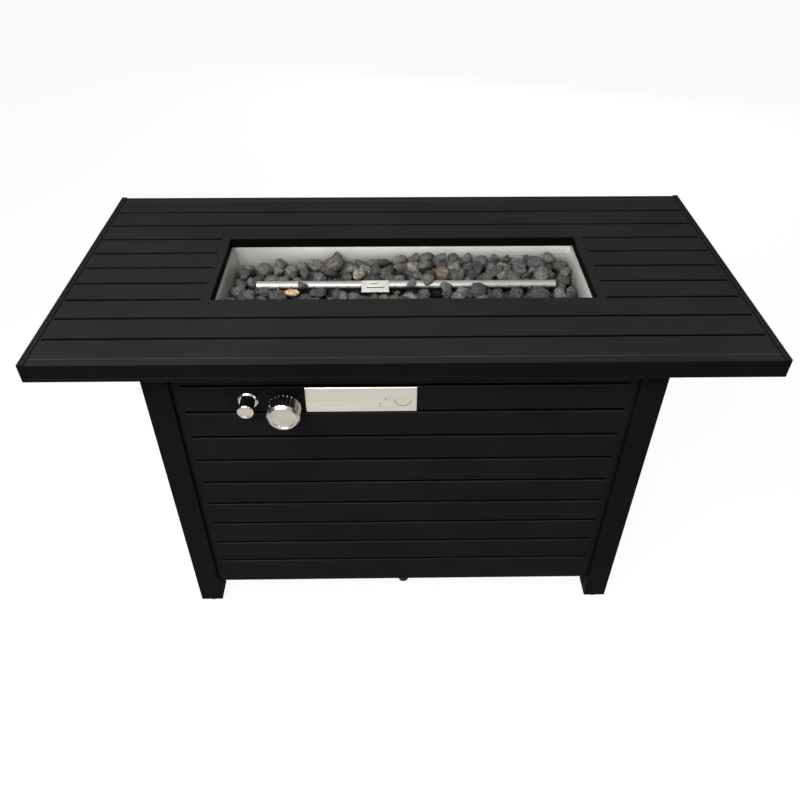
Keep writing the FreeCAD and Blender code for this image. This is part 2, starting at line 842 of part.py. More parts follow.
def hinge_leaf_frame():
    """Leaves on the rear leg, each with two outer knuckles."""
    low, pitch = hinge_levels()
    body = new_body("hinge_leaf_frame", HINGE_X, HINGE_Y, low)
    third = S.hinge_height / 3
    near = -S.knuckle_radius - S.pin_clearance * 4
    back = -S.knuckle_radius
    leaf = sketch_on(body, "XY")
    rectangle(leaf, near - S.hinge_leaf, near, back, back + S.hinge_sheet)
    features = [pad(body, leaf, S.hinge_height)]
    for level in (size(0), third * 2):
        tab = sketch_on(body, "XY", level)
        rectangle(tab, near, 0, back, back + S.hinge_sheet)
        features.append(pad(body, tab, third))
        knuckle = sketch_on(body, "XY", level)
        circle(knuckle, 0, 0, S.knuckle_radius)
        features.append(pad(body, knuckle, third))
    bore = sketch_on(body, "XY", S.hinge_height)
    circle(bore, 0, 0, S.pin_radius + S.pin_clearance)
    features.append(pocket(body, bore, S.hinge_height))
    twice(body, features, pitch)


def twice(body, features, pitch):
    """A second copy of all the features, one hinge pitch higher."""
    axis = [item for item in body.Origin.OriginFeatures if item.Role == "Z_Axis"][0]
    item = body.newObject("PartDesign::LinearPattern", f"{body.Label}_pair")
    item.Originals = features
    item.Direction = (axis, [""])
    item.setExpression("Length", pitch.text)
    item.Occurrences = 2
    body.Tip = item


def hinge_leaf_door():
    """Leaves on the door's face, each stepped out to the middle knuckle."""
    low, pitch = hinge_levels()
    body = new_body("hinge_leaf_door", HINGE_X, HINGE_Y, low)
    third = S.hinge_height / 3
    face = FACE_Y - HINGE_Y
    right = S.knuckle_radius
    left = S.knuckle_radius - S.hinge_sheet
    leaf = sketch_on(body, "XY")
    rectangle(leaf, left, right + S.hinge_leaf, face, face + S.hinge_sheet)
    features = [pad(body, leaf, S.hinge_height)]
    step = sketch_on(body, "XY", third + S.knuckle_gap)
    rectangle(step, left, right, face, 0)
    features.append(pad(body, step, third - S.knuckle_gap * 2))
    knuckle = sketch_on(body, "XY", third + S.knuckle_gap)
    circle(knuckle, 0, 0, S.knuckle_radius)
    features.append(pad(body, knuckle, third - S.knuckle_gap * 2))
    bore = sketch_on(body, "XY", S.hinge_height)
    circle(bore, 0, 0, S.pin_radius + S.pin_clearance)
    features.append(pocket(body, bore, S.hinge_height))
    twice(body, features, pitch)


def hinge_pins():
    low, pitch = hinge_levels()
    body = new_body("hinge_pins", HINGE_X, HINGE_Y, low)
    r = S.pin_radius
    top = S.hinge_height
    head = S.knuckle_radius - S.knuckle_gap
    pin = turned(body, "XZ", [(0, -1), (r, -1), (r, top), (head, top), (head, top + r), (0, top + r)])
    twice(body, [pin], pitch)


def door_pull():
    """Turned knob on the free side of the door."""
    middle = (S.panel_bottom + DOOR_TOP) / 2
    body = new_body("door_pull", BAY_X - S.door_side_gap - S.pull_margin, FACE_Y, middle)
    r, length = S.pull_radius, S.pull_length
    turned(body, "XY", [(0, 0), (r * 0.6, 0), (r * 0.45, length * 0.3), (r * 0.45, length * 0.5),
                        (r, length * 0.72), (r, length * 0.9), (r * 0.85, length), (0, length)])


def magnetic_catch():
    """Magnet block on the leg, a hair inside the closed door's strike."""
    middle = (S.panel_bottom + DOOR_TOP) / 2
    body = new_body("magnetic_catch", BAY_X, FACE_Y - S.panel_flange - S.panel_gap, middle)
    block = sketch_on(body, "XY", -S.catch_height / 2)
    rectangle(block, -S.catch_width, 0, -S.catch_depth, 0)
    pad(body, block, S.catch_height)
    soften(body, lambda edge: runs_along(edge, Vector(0, 0, 1)), 1, "Chamfer")


def catch_strike():
    """Steel plate across the corner of the door's side flange, facing the magnet."""
    middle = (S.panel_bottom + DOOR_TOP) / 2
    edge = BAY_X - S.door_side_gap - S.panel_sheet
    body = new_body("catch_strike", edge, FACE_Y - S.panel_flange, middle)
    wall = S.panel_sheet
    profile = sketch_on(body, "XY", -S.catch_height / 2)
    outline(profile, [(0, 0), (0, S.catch_width), (-wall, S.catch_width), (-wall, wall),
                      (-S.catch_width, wall), (-S.catch_width, 0)])
    pad(body, profile, S.catch_height)


# Fire bowl and heat shield

def loft(body, sections, kind="AdditiveLoft"):
    item = body.newObject(f"PartDesign::{kind}", f"{body.Label}_loft")
    item.Profile = sections[0]
    item.Sections = sections[1:]
    item.Ruled = True
    body.Tip = item
    return item


def fire_bowl():
    """Stainless pan with sloping walls, a turned-out lip and holes for gas, spark and rain."""
    body = new_body("fire_bowl")
    wall = S.bowl_wall
    half_x, half_y = S.bowl_length / 2, S.bowl_depth / 2
    slope = S.bowl_slope
    levels = ((BOWL_BOTTOM, slope, wall), (LIP_TOP, size(0), wall))
    sections = []
    for level, inset, skin in levels:
        section = sketch_on(body, "XY", level)
        rectangle(section, -half_x + inset - skin, half_x - inset + skin,
                  -half_y + inset - skin, half_y - inset + skin)
        sections.append(section)
    loft(body, sections)
    lip = sketch_on(body, "XY", LIP_TOP - wall)
    reach = wall + S.bowl_lip
    rectangle(lip, -half_x - reach, half_x + reach, -half_y - reach, half_y + reach)
    pad(body, lip, wall)
    hollow = []
    for level, inset in ((BOWL_FLOOR, slope), (LIP_TOP, size(0))):
        section = sketch_on(body, "XY", level)
        rectangle(section, -half_x + inset, half_x - inset, -half_y + inset, half_y - inset)
        hollow.append(section)
    loft(body, hollow, "SubtractiveLoft")
    holes = sketch_on(body, "XY", BOWL_FLOOR)
    circle(holes, S.riser_place, 0, S.riser_radius + S.stud_clearance)
    circle(holes, S.electrode_place, -S.electrode_stand, S.electrode_radius + S.stud_clearance)
    for side in (-1, 1):
        for end in (-1, 1):
            circle(holes, SADDLE_X * side, S.drain_place * end, S.drain_radius)
    pocket(body, holes, wall)


def bowl_hangers():
    """Four angles welded outside the opening's collar, whose feet the bowl's lip is fixed to."""
    body = new_body("bowl_hangers")
    wall = S.top_sheet
    near = OPEN_Y + wall
    up = S.opening_flange - wall
    for side in (-1, 1):
        for end in (-1, 1):
            middle = S.hanger_place * side
            left = middle - S.hanger_length / 2
            profile = sketch_on(body, "YZ", left)
            points = [(near, LIP_TOP), (near + wall + S.hanger_foot, LIP_TOP),
                      (near + wall + S.hanger_foot, LIP_TOP + wall), (near + wall, LIP_TOP + wall),
                      (near + wall, LIP_TOP + up - S.groove_depth), (near, LIP_TOP + up - S.groove_depth)]
            outline(profile, [(y * end, z) for y, z in points])
            pad(body, profile, S.hanger_length)


def heat_shield():
    """Plate under the bowl, its ends turned up to the bowl's lip."""
    body = new_body("heat_shield")
    wall = S.bowl_wall
    reach = S.bowl_length / 2 + S.bowl_wall + S.bowl_lip - wall
    half = S.shield_half_depth
    high = LIP_TOP - S.bowl_wall
    profile = sketch_on(body, "XZ", half)
    outline(profile, [(-reach, SHIELD_TOP - wall), (reach, SHIELD_TOP - wall), (reach, high),
                      (reach - wall, high), (reach - wall, SHIELD_TOP), (-reach + wall, SHIELD_TOP),
                      (-reach + wall, high), (-reach, high)])
    pad(body, profile, half * 2)
    holes = sketch_on(body, "XY", SHIELD_TOP)
    circle(holes, S.riser_place, 0, S.riser_radius + S.shield_hole_gap)
    circle(holes, S.electrode_place, -S.electrode_stand, S.electrode_radius + S.shield_hole_gap)
    pocket(body, holes, wall)


# Burner train

def burner_tube():
    """Closed steel tube with a row of gas ports along each upper side."""
    body = new_body("burner_tube", S.burner_shift, 0, BURNER_AXIS)
    half = S.burner_length / 2
    r = S.burner_radius
    section = sketch_on(body, "YZ", -half)
    circle(section, 0, 0, r)
    circle(section, 0, 0, r - S.burner_wall)
    pad(body, section, S.burner_length)
    for level in (-half, half - S.burner_wall):
        cap = sketch_on(body, "YZ", level)
        circle(cap, 0, 0, r - S.burner_wall / 2)
        pad(body, cap, S.burner_wall)
    first = -half + S.port_margin
    pitch = (S.burner_length - S.port_margin * 2) / (S.port_count - 1)
    for tilt in (-S.port_tilt.value, S.port_tilt.value - 180):
        port = sketch_on(body, "XZ", tilt=tilt)
        hexagon(port, first, 0, S.port_across)
        hole = pocket(body, port, r + S.burner_wall, reverse=True)
        row_pattern(body, [hole], (port, ["H_Axis"]), pitch, S.port_count)


def burner_saddles():
    """Two notched stands that carry the tube above the floor of the bowl."""
    body = new_body("burner_saddles", -SADDLE_X, 0, BOWL_FLOOR)
    high = BURNER_AXIS - BOWL_FLOOR
    half = S.saddle_width / 2
    wall = S.saddle_sheet
    upright = sketch_on(body, "YZ")
    rectangle(upright, -half, half, 0, high)
    first = pad(body, upright, wall)
    foot_plate = sketch_on(body, "YZ")
    rectangle(foot_plate, -half, half, 0, wall)
    second = pad(body, foot_plate, half)
    notch = sketch_on(body, "YZ", half)
    circle(notch, 0, high, S.burner_radius + S.screw_clearance)
    third = pocket(body, notch, half)
    axis = [item for item in body.Origin.OriginFeatures if item.Role == "X_Axis"][0]
    pair = body.newObject("PartDesign::LinearPattern", "burner_saddles_pair")
    pair.Originals = [first, second, third]
    pair.Direction = (axis, [""])
    pair.setExpression("Length", (SADDLE_X * 2).text)
    pair.Occurrences = 2
    body.Tip = pair


def burner_riser():
    """Feed pipe through the floor of the bowl, saddled under the burner."""
    body = new_body("burner_riser", S.riser_place, 0, BURNER_AXIS)
    section = sketch_on(body, "XY", -S.riser_length)
    circle(section, 0, 0, S.riser_radius)
    circle(section, 0, 0, S.riser_radius - S.riser_wall)
    pad(body, section, S.riser_length)
    saddle = sketch_on(body, "YZ", S.riser_radius)
    circle(saddle, 0, 0, S.burner_radius + S.screw_clearance)
    pocket(body, saddle, S.riser_radius * 2)


def riser_nuts():
    """Locknuts above and below the floor of the bowl."""
    body = new_body("riser_nuts", S.riser_place, 0, BOWL_BOTTOM)
    for level in (-S.nut_height, S.bowl_wall):
        nut = sketch_on(body, "XY", level)
        hexagon(nut, 0, 0, S.nut_across)
        circle(nut, 0, 0, S.riser_radius + S.screw_clearance)
        pad(body, nut, S.nut_height)


def venturi():
    """Mixing chamber with air windows, hung on the riser."""
    top = BURNER_AXIS - S.riser_length + S.venturi_overlap
    body = new_body("venturi", S.riser_place, 0, top - S.venturi_length)
    r = S.venturi_radius
    wall = S.venturi_wall
    high = S.venturi_length
    turned(body, "XZ", [
        (S.jet_holder_radius, 0), (r, 0), (r, high - wall), (r - wall / 2, high),
        (S.riser_radius + S.screw_clearance, high),
        (S.riser_radius + S.screw_clearance, high - S.venturi_overlap),
        (r - wall, high - S.venturi_overlap - wall), (r - wall, wall * 2),
        (S.jet_holder_radius, wall * 2),
    ])
    window = sketch_on(body, "XZ", -r)
    rectangle(window, -S.window_width / 2, S.window_width / 2, wall * 4, wall * 4 + S.window_height)
    cut = pocket(body, window, r)
    axis = [item for item in body.Origin.OriginFeatures if item.Role == "Z_Axis"][0]
    ring_pattern(body, [cut], (axis, [""]), 4)


def venturi_bottom():
    return BURNER_AXIS - S.riser_length + S.venturi_overlap - S.venturi_length


def orifice():
    """Brass jet holder under the mixing chamber."""
    body = new_body("orifice", S.riser_place, 0, venturi_bottom())
    hexes = sketch_on(body, "XY", -S.orifice_height)
    hexagon(hexes, 0, 0, S.orifice_across)
    pad(body, hexes, S.orifice_height)
    jet = sketch_on(body, "XY")
    circle(jet, 0, 0, S.jet_holder_radius - S.screw_clearance)
    pad(body, jet, S.venturi_wall * 4)
    bore = sketch_on(body, "XY", S.venturi_wall * 4)
    circle(bore, 0, 0, S.jet_bore)
    pocket(body, bore, S.venturi_wall * 4)


def gas_tube():
    """Aluminium tube from the valve's outlet to the jet holder."""
    valve_back = VALVE_FRONT + S.valve_length + S.outlet_length
    level = CONTROL - S.outlet_fall
    jet = venturi_bottom() - S.orifice_height
    low = jet - S.gas_tube_drop
    turn_y = -S.bowl_depth / 4
    points = [
        Vector(S.knob_place.value, valve_back.value, level.value),
        Vector(S.knob_place.value, turn_y.value, level.value),
        Vector(S.knob_place.value, turn_y.value, low.value),
        Vector(S.riser_place.value, 0, low.value),
        Vector(S.riser_place.value, 0, jet.value),
    ]
    solid_part("gas_tube", rod_along(points, S.gas_tube_bend.value, S.gas_tube_radius.value))


# Ignition in the bowl

def electrode_cover():
    """Folded cover that sits over the burner and shelters the spark."""
    body = new_body("electrode_cover", S.electrode_place, 0, BURNER_AXIS)
    wall = S.cover_sheet
    inner = S.burner_radius + S.screw_clearance
    outer = inner + wall
    low = -S.cover_skirt
    profile = sketch_on(body, "YZ", -S.cover_length / 2)
    outline(profile, [
        (-outer - S.cover_flange, low), (-inner, low), (-inner, inner), (inner, inner), (inner, low),
        (outer, low), (outer, outer), (-outer, outer), (-outer, low + wall),
        (-outer - S.cover_flange, low + wall),
    ])
    pad(body, profile, S.cover_length)
    bar = sketch_on(body, "XY", outer)
    rectangle(bar, -S.cover_bar, S.cover_bar, -wall * 2, wall)
    pad(body, bar, wall)
    for side in (-1, 1):
        head = sketch_on(body, "XY", outer)
        circle(head, S.cover_screw_place * side, 0, wall * 2)
        pad(body, head, wall)


def spark_electrode():
    """Ceramic post through the floor of the bowl with a wire that points at the ports."""
    body = new_body("spark_electrode", S.electrode_place, -S.electrode_stand, BOWL_BOTTOM)
    r = S.electrode_radius
    stub = S.shield_drop * 0.6
    high = S.electrode_height
    tip = S.wire_radius
    turned(body, "XZ", [(0, -stub), (r, -stub), (r, high - r), (tip, high), (tip, high + r), (0, high + r)])
    collar = sketch_on(body, "XY", S.bowl_wall)
    circle(collar, 0, 0, r * 2)
    pad(body, collar, r)


# Gas valve and knob

def gas_valve():
    """Valve block behind the front panel, bored for the stem and its thrust collar."""
    body = new_body("gas_valve", S.knob_place, VALVE_FRONT, CONTROL)
    half = S.valve_width / 2
    block = sketch_on(body, "XZ")
    rectangle(block, -half, half, -S.valve_below, S.valve_above)
    pad(body, block, S.valve_length, reverse=True)
    soften(body, lambda edge: runs_along(edge, Vector(0, 1, 0)), S.valve_corner)
    outlet = sketch_on(body, "XZ", S.valve_length)
    circle(outlet, 0, -S.outlet_fall, S.outlet_radius)
    pad(body, outlet, S.outlet_length, reverse=True)
    collar_bore = sketch_on(body, "XZ")
    depth = S.collar_length + S.push_travel + S.panel_gap * 4
    circle(collar_bore, 0, 0, S.collar_outer + S.running_clearance)
    pocket(body, collar_bore, depth)
    stem_bore = sketch_on(body, "XZ", depth)
    circle(stem_bore, 0, 0, S.stem_radius + S.running_clearance)
    pocket(body, stem_bore, S.stem_tail + S.push_travel)


def valve_inlet():
    """Flare fitting on the side of the valve, where the gas hose screws on."""
    body = new_body("valve_inlet", S.knob_place + S.valve_width / 2,
                    VALVE_FRONT + S.valve_length / 2, CONTROL - S.outlet_fall)
    hexes = sketch_on(body, "YZ")
    hexagon(hexes, 0, 0, S.inlet_hex)
    pad(body, hexes, S.inlet_shoulder)
    thread = sketch_on(body, "YZ", S.inlet_shoulder)
    circle(thread, 0, 0, S.inlet_radius)
    pad(body, thread, S.inlet_length)
    bore = sketch_on(body, "YZ", S.inlet_shoulder + S.inlet_length)
    circle(bore, 0, 0, S.inlet_bore)
    pocket(body, bore, S.inlet_length + S.inlet_shoulder / 2)


def valve_bracket():
    """Plate between the valve and the front panel."""
    body = new_body("valve_bracket", S.knob_place, PANEL_BACK, CONTROL)
    plate = sketch_on(body, "XZ")
    rectangle(plate, -S.bracket_left, S.bracket_right, -S.bracket_height / 2, S.bracket_height / 2)
    circle(plate, 0, 0, S.stem_radius + S.stem_hole_gap)
    pad(body, plate, S.plate_sheet, reverse=True)


def thrust_collar():
    """Ring that the pushed stem carries back against its spring; the stem turns in it."""
    body = new_body("thrust_collar", S.knob_place, VALVE_FRONT + S.panel_gap, CONTROL)
    ring = sketch_on(body, "XZ")
    circle(ring, 0, 0, S.collar_outer)
    circle(ring, 0, 0, S.stem_radius + S.running_clearance)
    pad(body, ring, S.collar_length, reverse=True)


def valve_stem():
    """Turned stem, round in the valve and flatted where it holds the knob."""
    start = VALVE_FRONT - S.stem_front
    body = new_body("valve_stem", S.knob_place, 0, CONTROL)
    front = sketch_on(body, "XZ", start)
    d_outline(front, S.stem_radius, S.stem_flat)
    flatted = KNOB_BACK - start + S.panel_gap
    pad(body, front, flatted, reverse=True)
    rest = sketch_on(body, "XZ", start + flatted)
    circle(rest, 0, 0, S.stem_radius)
    end = VALVE_FRONT + S.panel_gap + S.collar_length + S.stem_tail
    pad(body, rest, end - start - flatted, reverse=True)


def control_knob():
    """Fluted knob on a slimmer hub, with a stepped face and a pointer dimple."""
    body = new_body("control_knob", S.knob_place, KNOB_BACK, CONTROL)
    r = S.knob_radius
    edge = S.knob_edge
    shoulder = -S.hub_length
    front = shoulder - S.knob_length
    face = front + S.knob_step
    turned(body, "XY", [
        (0, 0), (S.hub_radius, 0), (S.hub_radius, shoulder), (r - edge, shoulder), (r, shoulder - edge),
        (r, front + edge), (r - edge, front), (S.knob_face_radius + S.knob_step, front),
        (S.knob_face_radius, face), (0, face),
    ])
    groove = sketch_on(body, "XZ", front)
    outside = r + S.flute_depth
    reach = S.flute_width
    outline(groove, [(outside, -reach), (outside, reach), (r - S.flute_depth, 0)])
    flute = pocket(body, groove, S.knob_length - edge)
    axis = [item for item in body.Origin.OriginFeatures if item.Role == "Y_Axis"][0]
    ring_pattern(body, [flute], (axis, [""]), S.knob_flutes)
    bore = sketch_on(body, "XZ")
    d_outline(bore, S.stem_radius + S.running_clearance, S.stem_flat + S.running_clearance)
    pocket(body, bore, KNOB_BACK - VALVE_FRONT + S.stem_front + S.panel_gap, reverse=True)
    dimple = sketch_on(body, "XZ", front)
    angle = math.radians(DIMPLE_ANGLE)
    circle(dimple, S.dimple_place * math.cos(angle), S.dimple_place * math.sin(angle), S.dimple_radius)
    pocket(body, dimple, S.knob_step * 2)


def control_plate():
    body = new_body("control_plate", 0, -FACE_Y)
    plate = sketch_on(body, "XZ")
    low = CONTROL - S.plate_height / 2
    rectangle(plate, S.plate_left, S.plate_right, low, low + S.plate_height)
    circle(plate, S.knob_place, CONTROL, S.stem_radius + S.stem_hole_gap)
    circle(plate, S.igniter_place, CONTROL, S.igniter_radius + S.panel_gap)
    pad(body, plate, S.plate_sheet)


def label_plate():
    """Bare brushed plate beside the controls, its face edge bevelled."""
    body = new_body("label_plate", 0, -FACE_Y)
    plate = sketch_on(body, "XZ")
    low = CONTROL - S.label_height / 2
    rectangle(plate, S.plate_right, S.plate_right + S.label_length, low, low + S.label_height)
    pad(body, plate, S.label_sheet)
    face = -S.label_sheet.value
    soften(body, lambda edge: abs(edge.BoundBox.YMin - face) < 1e-6 and abs(edge.BoundBox.YMax - face) < 1e-6,
           S.label_bevel, "Chamfer")


# Igniter

def igniter_body():
    """Igniter housing through the panel: neck in front, flange and barrel behind."""
    body = new_body("igniter_body", S.igniter_place, 0, CONTROL)
    r = S.igniter_radius
    front = PLATE_FRONT - S.igniter_neck
    bore = S.button_stem_radius + S.running_clearance
    depth = front + S.button_stem_length + S.button_travel
    rear = PANEL_BACK + S.igniter_length
    flange = S.igniter_flange
    flange_back = PANEL_BACK + S.igniter_flange_height
    barrel = r - S.igniter_step
    tail = S.igniter_tail
    turned(body, "XY", [
        (bore, front), (r, front), (r, PANEL_BACK), (flange, PANEL_BACK), (flange, flange_back),
        (barrel, flange_back), (barrel, rear - tail), (tail / 2, rear - tail), (tail / 2, rear), (0, rear),
        (0, depth), (bore, depth),
    ])


def igniter_collar():
    """Ring nut that clamps the housing to the plate."""
    body = new_body("igniter_collar", S.igniter_place, PLATE_FRONT, CONTROL)
    r = S.igniter_collar_radius
    inner = S.igniter_radius + S.screw_clearance
    length = S.igniter_collar_length
    edge = S.igniter_collar_edge
    turned(body, "XY", [(inner, 0), (r, 0), (r, -length + edge), (r - edge, -length), (inner, -length)])


def igniter_button():
    """Round cap on a stem that slides in the housing."""
    neck = PLATE_FRONT - S.igniter_neck
    body = new_body("igniter_button", S.igniter_place, neck, CONTROL)
    back = -S.button_travel - S.button_gap
    r = S.button_radius
    edge = S.button_edge
    front = back - S.button_length
    face = front + edge / 2
    stem = S.button_stem_radius
    turned(body, "XY", [
        (0, face), (S.button_face_radius, face), (S.button_face_radius + edge / 2, front),
        (r - edge, front), (r, front + edge),
        (r, back), (stem, back), (stem, back + S.button_stem_length), (0, back + S.button_stem_length),
    ])


# Lava rocks

ROCK_TRIES = 9
ROCK_LEAST = 0.86
ROCK_TOUCH = 1
ROCK_MISSES = 90
STEPS = (8, 4, 2, 1)
COLUMN = 40

# Where the heap stands higher than elsewhere: place, reach and height of each mound, some of them
# single rocks that lie on the burner
MOUNDS = ((78, 60, 70, 17), (190, 54, 120, 17), (-117, 60, 40, 14), (-150, 0, 18, 36), (-8, 4, 22, 32),
          (40, -2, 20, 34))


def heap_top(x, y):
    """Height that no rock rises above, over one place of the bowl."""
    rise = 0
    for mx, my, reach, height in MOUNDS:
        share = 1 - math.hypot(x - mx, y - my) / reach
        rise = max(rise, height * share)
    beside = abs(y) - S.burner_radius.value - S.rock_small.value
    level = S.heap_valley.value if beside < 0 else S.heap_height.value
    return BOWL_FLOOR.value + min(level + rise, S.heap_most.value)


def obstacles():
    """Boxes that the rocks lie around: left, right, front, rear and top of each."""
    axis = BURNER_AXIS.value
    half = S.saddle_width.value / 2
    nut = S.nut_across.value / math.sqrt(3)
    riser_x, riser_r = S.riser_place.value, S.riser_radius.value
    nut_top = BOWL_FLOOR.value + S.nut_height.value
    boxes = [(riser_x - nut, riser_x + nut, -nut, nut, nut_top),
             (riser_x - riser_r, riser_x + riser_r, -riser_r, riser_r, axis)]
    for place in (-SADDLE_X.value, SADDLE_X.value):
        boxes.append((place, place + half, -half, half, axis))
    cover_x, cover_half = S.electrode_place.value, S.cover_length.value / 2
    cover_y = S.burner_radius.value + S.cover_sheet.value + S.screw_clearance.value
    boxes.append((cover_x - cover_half, cover_x + cover_half, -cover_y - S.cover_flange.value, cover_y,
                  TOP.value))
    return boxes


def wall_seat(distance, half, radius):
    """Lowest height at which a ball this far out clears a sloping wall of the bowl."""
    slope = S.bowl_slope.value / S.bowl_height.value
    reach = (radius + S.rock_gap.value) * math.hypot(1, slope)
    return LIP_TOP.value - (half - reach - abs(distance)) / slope


def seat(x, y, radius, near, boxes):
    """Lowest height at which a ball fits over one place, between what is already there."""
    gap = S.rock_gap.value
    z = max(BOWL_FLOOR.value + radius + gap, wall_seat(x, S.bowl_length.value / 2, radius),
            wall_seat(y, S.bowl_depth.value / 2, radius))
    for left, right, front, rear, top in boxes:
        away = math.hypot(max(left - x, 0, x - right), max(front - y, 0, y - rear))
        if away < radius + gap:
            z = max(z, top + math.sqrt((radius + gap) ** 2 - away * away))
    axis = BURNER_AXIS.value
    tube = S.burner_radius.value + radius + gap
    rods = [(y * y, axis, tube)] if abs(x) < S.burner_length.value / 2 + radius else []
    balls = [((x - bx) ** 2 + (y - by) ** 2, bz, br + radius + gap) for bx, by, bz, br in near]
    blockers = [item for item in rods + balls if item[0] < item[2] ** 2]
    raised = True
    while raised:
        raised = False
        for flat, level, reach in blockers:
            if flat + (z - level) ** 2 < reach * reach - 1e-6:
                z = level + math.sqrt(reach * reach - flat)
                raised = True
    return z


def rock_seats(chance):
    """Centres and radii of balls heaped in the bowl, each rolled to a low seat between the others."""
    boxes = obstacles()
    half_x, half_y = S.bowl_length.value / 2, S.bowl_depth.value / 2
    columns = {}
    balls = []
    misses = 0
    while len(balls) < S.rock_count.value and misses < ROCK_MISSES:
        share = chance.random() ** 1.5
        radius = S.rock_small.value + (S.rock_large.value - S.rock_small.value) * share
        reach = (half_x - radius - 1, half_y - radius - 1)
        best = None
        for attempt in range(ROCK_TRIES):
            place = [chance.uniform(-reach[0], reach[0]), chance.uniform(-reach[1], reach[1])]
            cell = (round(place[0] / COLUMN), round(place[1] / COLUMN))
            near = [ball for i in (-2, -1, 0, 1, 2) for j in (-2, -1, 0, 1, 2)
                    for ball in columns.get((cell[0] + i, cell[1] + j), ())]
            z = seat(*place, radius, near, boxes)
            for step in STEPS:
                for dx, dy in ((step, 0), (-step, 0), (0, step), (0, -step)):
                    x = min(max(place[0] + dx, -reach[0]), reach[0])
                    y = min(max(place[1] + dy, -reach[1]), reach[1])
                    lower = seat(x, y, radius, near, boxes)
                    if lower < z:
                        place, z = [x, y], lower
            if z + radius < heap_top(*place) and (best is None or z < best[2]):
                best = (place[0], place[1], z, radius)
        if best is None:
            misses += 1
            continue
        balls.append(best)
        columns.setdefault((round(best[0] / COLUMN), round(best[1] / COLUMN)), []).append(best)
    return balls


def touching(balls, index, reach):
    """Directions from one ball to what it touches."""
    x, y, z, radius = balls[index]
    centre = Vector(x, y, z)
    found = []
    for other, (bx, by, bz, br) in enumerate(balls):
        if other == index:
            continue
        away = Vector(bx, by, bz) - centre
        if away.Length < radius + br + reach:
            found.append(away.normalize())
    if z - radius < BOWL_FLOOR.value + reach:
        found.append(Vector(0, 0, -1))
    across = Vector(x, 0, BURNER_AXIS.value) - centre
    if across.Length < radius + S.burner_radius.value + reach:
        found.append(across.normalize())
    return found


def hull(points):
    """Triangles of the convex hull of a few points, each turned outwards."""
    middle = sum(points, Vector()) * (1 / len(points))
    triangles = []
    count = len(points)
    for a in range(count):
        for b in range(a + 1, count):
            for c in range(b + 1, count):
                normal = (points[b] - points[a]).cross(points[c] - points[a])
                if normal.Length < 1e-9:
                    continue
                order = (a, b, c)
                if normal.dot(points[a] - middle) < 0:
                    normal = normal * -1
                    order = (a, c, b)
                limit = normal.dot(points[a]) + 1e-9 * normal.Length
                if all(normal.dot(point) <= limit for point in points):
                    triangles.append(order)
    return triangles


def lava_rocks():
    """Loose rocks heaped in the bowl: each one is faceted, and touches its neighbours at corners."""
    chance = random.Random(7)
    balls = rock_seats(chance)
    solids = []
    golden = math.pi * (3 - math.sqrt(5))
    for index, (x, y, z, radius) in enumerate(balls):
        centre = Vector(x, y, z)
        points = [centre + way * radius for way in touching(balls, index, ROCK_TOUCH)]
        spin = chance.uniform(0, math.pi * 2)
        corners = int(S.rock_corners.value)
        for corner in range(corners):
            high = 1 - 2 * (corner + 0.5) / corners
            flat = math.sqrt(1 - high * high)
            turn = corner * golden + spin
            way = Vector(flat * math.cos(turn), flat * math.sin(turn), high)
            points.append(centre + way * radius * chance.uniform(ROCK_LEAST, 1))
        shell = Part.Shape()
        shell.makeShapeFromMesh((points, hull(points)), 0.001)
        solids.append(Part.makeSolid(shell))
    solid_part("lava_rocks", Part.makeCompound(solids))


# Assembly

def build():
    top_panel()
    panel_edge()
    opening_collar()
    for place, side in SIDES.items():
        side_rim(f"{place}_rim", side)
    for place, end in ENDS.items():
        apron(f"{place}_apron", end)
    top_stiffeners()
    top_frame()
    for end_name, end in ENDS.items():
        for side_name, side in SIDES.items():
            leg(f"leg_{end_name}_{side_name}", side, end)
            foot(f"foot_{end_name}_{side_name}", side, end)
        centre_foot(f"foot_centre_{end_name}", end)
    front_panel()
    for place, side in SIDES.items():
        side_panel(f"{place}_panel", side)
        shelf_rail(f"shelf_rail_{place}", side)
    rear_door()
    rear_header()
    bottom_shelf()
    hinge_leaf_frame()
    hinge_leaf_door()
    hinge_pins()
    door_pull()
    magnetic_catch()
    catch_strike()
    fire_bowl()
    bowl_hangers()
    heat_shield()
    burner_tube()
    burner_saddles()
    burner_riser()
    riser_nuts()
    venturi()
    orifice()
    gas_tube()
    electrode_cover()
    spark_electrode()
    gas_valve()
    valve_inlet()
    valve_bracket()
    thrust_collar()
    valve_stem()
    control_knob()
    control_plate()
    label_plate()
    igniter_body()
    igniter_collar()
    igniter_button()
    lava_rocks()


def sub_parts():
    return [item for item in doc.Objects
            if item.TypeId == "PartDesign::Body" or item.TypeId == "Part::Feature"]


def check():
    """Every object is sound, and every cut takes something away."""
    for item in doc.Objects:
        if "Invalid" in item.State or "Error" in item.State:
            raise RuntimeError(f"{item.Name} failed: {item.State}")
        if item.TypeId in ("PartDesign::Pocket", "PartDesign::SubtractiveLoft"):
            if item.Shape.Volume >= item.BaseFeature.Shape.Volume - 1e-6:
                raise RuntimeError(f"{item.Name} cuts nothing")
    for item in sub_parts():
        if item.Shape.isNull() or not item.Shape.isValid():
            raise RuntimeError(f"{item.Label} has no sound shape")


build()
doc.recompute()
check()
os.makedirs("parts", exist_ok=True)
for item in sub_parts():
    item.Shape.exportStep(f"parts/{item.Label}.step")
print(f"{len(sub_parts())} sub-parts")
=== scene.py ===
import json
import math
import random

import bmesh
import bpy
from mathutils import Matrix, Vector, noise

